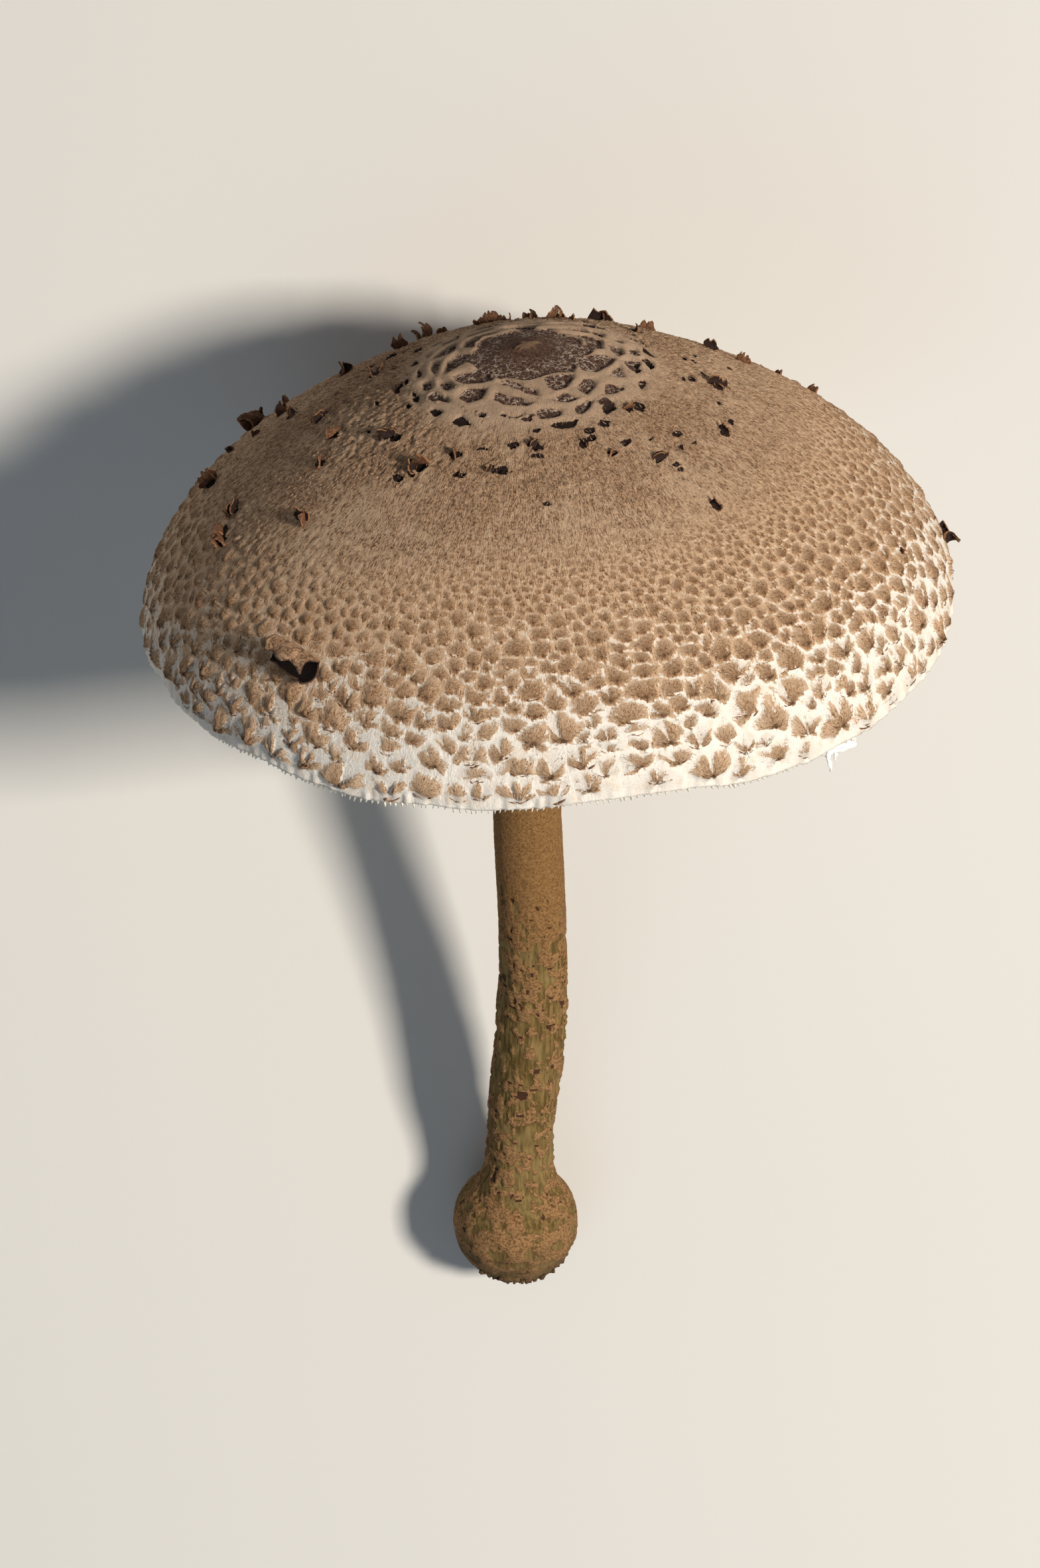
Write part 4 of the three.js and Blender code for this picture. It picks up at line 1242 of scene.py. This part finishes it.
def stem_skin():
    """A ball of rows and columns drawn out into the stem and its bulb."""
    deselect()
    bpy.ops.mesh.primitive_uv_sphere_add(segments=STEM_COLUMNS, ring_count=STEM_ROWS, radius=1)
    piece = bpy.context.object
    piece.name = piece.data.name = "stem_skin"
    ball = coordinates(piece.data)
    azimuth = np.arctan2(ball[:, 1], ball[:, 0])
    share = np.arccos(np.clip(ball[:, 2], -1, 1)) / np.pi
    in_bulb = np.clip((share - 1 + BULB_SHARE) / BULB_SHARE, 0, 1)
    turn = -BULB_TURN + in_bulb * (np.pi / 2 + BULB_TURN)
    shaft_end = BULB_Z + BULB_RADIUS * math.sin(BULB_TURN)
    down = np.clip(share / (1 - BULB_SHARE), 0, 1)
    shaft = STEM_LINE[0][0] + (shaft_end - STEM_LINE[0][0]) * down
    height = np.where(in_bulb > 0, BULB_Z - BULB_RADIUS * np.sin(turn), shaft)
    radius, bend = stem_at(height)
    around = xyz(8 * np.cos(azimuth), 8 * np.sin(azimuth), height)

    # Velvet grains above, which part into torn flakes with dark gaps and bare fibre lower down.
    warp = 1.8 * noise(around * 0.4, 1) + 0.9 * noise(around * 1.0, 2)
    bands = np.sin((height + warp * 1.4) * TURN / 5.2)
    patch = noise(around * [0.5, 0.5, 0.42], 3) + 0.6 * noise(around * [1.2, 1.2, 1.1], 4)
    grains = noise(around * [1.3, 1.3, 1.5], 5) + 0.6 * noise(around * 2.6, 6)
    cover = np.interp(height, *STEM_COVER)
    plate = smooth(-0.22, 0.16, 0.28 * bands + 0.8 * patch + cover + 0.2 * grains)
    holes = noise(around * [0.75, 0.75, 0.8], 12) + 0.4 * noise(around * 1.8, 13)
    rare = np.interp(height, *STEM_HOLES)
    hole = smooth(rare - 0.25, rare + 0.25, holes) * smooth(0.1, 0.5, plate)
    lift = np.interp(height, *STEM_ROUGH) * (plate - 0.6) + 0.07 * grains - 0.35 * hole
    lift += 0.22 * noise(around * 0.11, 8) + np.where(height < -150, 0.45 * noise(around * 0.22, 9), 0)
    pole = share < 0.2 / STEM_ROWS
    reach = np.where(pole, 0, radius + lift * smooth(0, 4, radius))
    set_coordinates(piece.data, xyz(reach * np.cos(azimuth) + bend, reach * np.sin(azimuth), height))
    give(piece.data, "plate", plate)
    give(piece.data, "hole", hole)
    give(piece.data, "low", smooth(70, 112, -height))
    give(piece.data, "soiled", 0.8 * smooth(168, 188, 5 * noise(around * 0.3, 10) - height))
    turn_outward(piece)
    return finish_piece(piece, stem_material(), "stem")


CRUMBS = 420


def soil_crumbs():
    """Crumbs of earth that cling to the foot of the bulb."""
    random = np.random.default_rng(41)
    deselect()
    bpy.ops.mesh.primitive_ico_sphere_add(subdivisions=1, radius=1)
    pattern = bpy.context.object
    ball = coordinates(pattern.data)
    triangles = np.array([face.vertices[:] for face in pattern.data.polygons])
    bpy.data.objects.remove(pattern)
    points, faces = [], []
    for i in range(CRUMBS):
        fall = np.pi / 2 * (1 - 0.62 * random.random() ** 1.1)
        azimuth = random.uniform(0, TURN)
        out = xyz(math.cos(azimuth) * math.cos(fall), math.sin(azimuth) * math.cos(fall), -math.sin(fall))
        size = random.uniform(0.25, 0.5) * (1 + 1.6 * random.random() ** 5)
        lumpy = ball * (1 + 0.3 * noise(ball * 1.3 + i, 5))[:, None] * random.uniform(0.7, 1.1, 3)
        points.append([BULB_X, 0, BULB_Z] + out * (BULB_RADIUS + 0.1 * size) + lumpy * size)
        faces.append(triangles + len(ball) * i)
    piece = mesh_piece("soil_crumbs", np.concatenate(points), np.concatenate(faces))
    return finish_piece(piece, soil_material())


# ------------------------------------------------------------------ ring
RING_SECTION = [  # radius and height above RING_Z, from the bore round the sleeve and the two lips
    (8.25, 4.4), (8.25, -1.5), (8.25, -7.3), (8.9, -7.6), (9.5, -6.6), (9.9, -4.2), (11.2, -3.2),
    (14.5, -3.9), (17.4, -3.7), (17.6, -3.2), (16.2, -2.5), (14.6, -1.9), (16.4, -1.2), (17.9, -0.6),
    (17.6, 0.0), (15.6, 0.35), (12.8, 0.7), (10.6, 1.7), (9.6, 3.4), (9.0, 4.7),
]
RING_COLUMNS = 300
ROWS_PER_POINT = 3  # of the section


def ring_skirt():
    """The double ring: its section swept round the stem, waved and frayed at both lips."""
    section = np.array(RING_SECTION + RING_SECTION[:1])
    count = len(RING_SECTION)
    piece, azimuth, row = ring_piece("ring_skirt", RING_COLUMNS, ROWS_PER_POINT * count)
    radius = np.interp(row / ROWS_PER_POINT, np.arange(count + 1), section[:, 0])
    height = np.interp(row / ROWS_PER_POINT, np.arange(count + 1), section[:, 1])
    skirt = smooth(10, 17.5, radius)
    lip = smooth(15.2, 17.8, radius)
    under = (height < -3) * smooth(9, 12, radius)
    place = xyz(3 * np.cos(azimuth), 3 * np.sin(azimuth), height)
    wave = 0.05 * np.sin(5 * azimuth) + 0.03 * np.sin(11 * azimuth + 1) - 0.02
    frayed = 0.9 * noise(place * 9, 2) + 0.5 * noise(place * 21, 3)
    fleece = 0.2 * noise(place * [5, 5, 1.4], 6) * smooth(8.4, 9.5, radius)
    radius = radius * (1 + skirt * wave) + skirt**3 * frayed * 0.8 + fleece
    droop = skirt * (0.9 * np.sin(3 * azimuth + 0.7) + 0.3 * noise(place * [7, 7, 0], 4))
    height = height + RING_Z + droop + fleece
    set_coordinates(piece.data, xyz(radius * np.cos(azimuth), radius * np.sin(azimuth), height))
    give(piece.data, "lip", np.maximum(lip, 0.75 * under))
    turn_outward(piece)
    return finish_piece(piece, ring_material(), "ring")


# ------------------------------------------------------------------ the object
SKIN = skin_material()
FIBRE = fibre_material()
GILL = gill_material()
cap_crown()
cap_ring("cap_brim", BRIM_FROM, BRIM_TO, BRIM_ROWS, BRIM_UNDER_ROWS)
cap_ring("cap_rim", RIM_FROM, ARC_LENGTH, RIM_ROWS, RIM_UNDER_ROWS)
scale_lips()
dark_tips()
felt_hairs()
flakes()
rolled_scale()
veil_shred()
gill_blades()
gill_bed()
stem_skin()
soil_crumbs()
ring_skirt()


# ------------------------------------------------------------------ floor, light and camera
FLOOR_SIZE = 40  # in metres, as are the lamps' places and sizes
SKY_COLOUR, SKY_STRENGTH = (0.74, 0.86, 1.0, 1), 0.17
LAMPS = [  # name, place, size, power, colour
    ("key", (1.36, 0.12, 2.0), 0.36, 70, (1.0, 0.935, 0.84)),
    ("fill", (-0.3, -0.6, 0.9), 0.8, 1.5, (0.74, 0.87, 1.0)),
]
LAMP_AIM = (0, 0.03, 0.08)


def studio():
    """A pale floor, a dim cool sky, a warm key lamp above on the right and a faint cool fill."""
    deselect()
    bpy.ops.mesh.primitive_plane_add(size=FLOOR_SIZE)
    floor = bpy.context.object
    floor.name = floor.data.name = "floor"
    shader = Shader("floor", 0.9)
    floor.data.materials.append(shader.done(srgb(214, 211, 206)))
    bpy.context.scene.view_settings.view_transform = "Standard"
    world = bpy.data.worlds.new("studio")
    bpy.context.scene.world = world
    world.use_nodes = True
    sky = world.node_tree.nodes["Background"]
    sky.inputs["Color"].default_value = SKY_COLOUR
    sky.inputs["Strength"].default_value = SKY_STRENGTH
    for row in LAMPS:
        lamp(*row)


def lamp(name, place, size, power, colour):
    """A square lamp that looks at the mushroom."""
    light = bpy.data.lights.new(name, "AREA")
    light.size = size
    light.energy = power
    light.color = colour
    holder = bpy.data.objects.new(name, light)
    bpy.context.scene.collection.objects.link(holder)
    holder.location = place
    heading = Vector(LAMP_AIM) - Vector(place)
    holder.rotation_euler = heading.to_track_quat("-Z", "Y").to_euler()


def camera():
    """The camera, placed and aimed in the growing frame and upright in it."""
    data = bpy.data.cameras.new("camera")
    data.lens = VIEW_LENS
    data.sensor_width = VIEW_SENSOR
    holder = bpy.data.objects.new("camera", data)
    bpy.context.scene.collection.objects.link(holder)
    eye = np.array([0, -math.cos(VIEW_RISE), math.sin(VIEW_RISE)]) * VIEW_DISTANCE
    ends = lay_down([eye, VIEW_AIM, [0, 0, 0], [0, 0, 1]])
    place, aim, base, up = (Vector(point) for point in ends)
    back = (place - aim).normalized()
    right = (up - base).cross(back).normalized()
    turned = Matrix((right, back.cross(right), back)).transposed()
    holder.matrix_world = Matrix.Translation(place) @ turned.to_4x4()
    bpy.context.scene.camera = holder


studio()
camera()
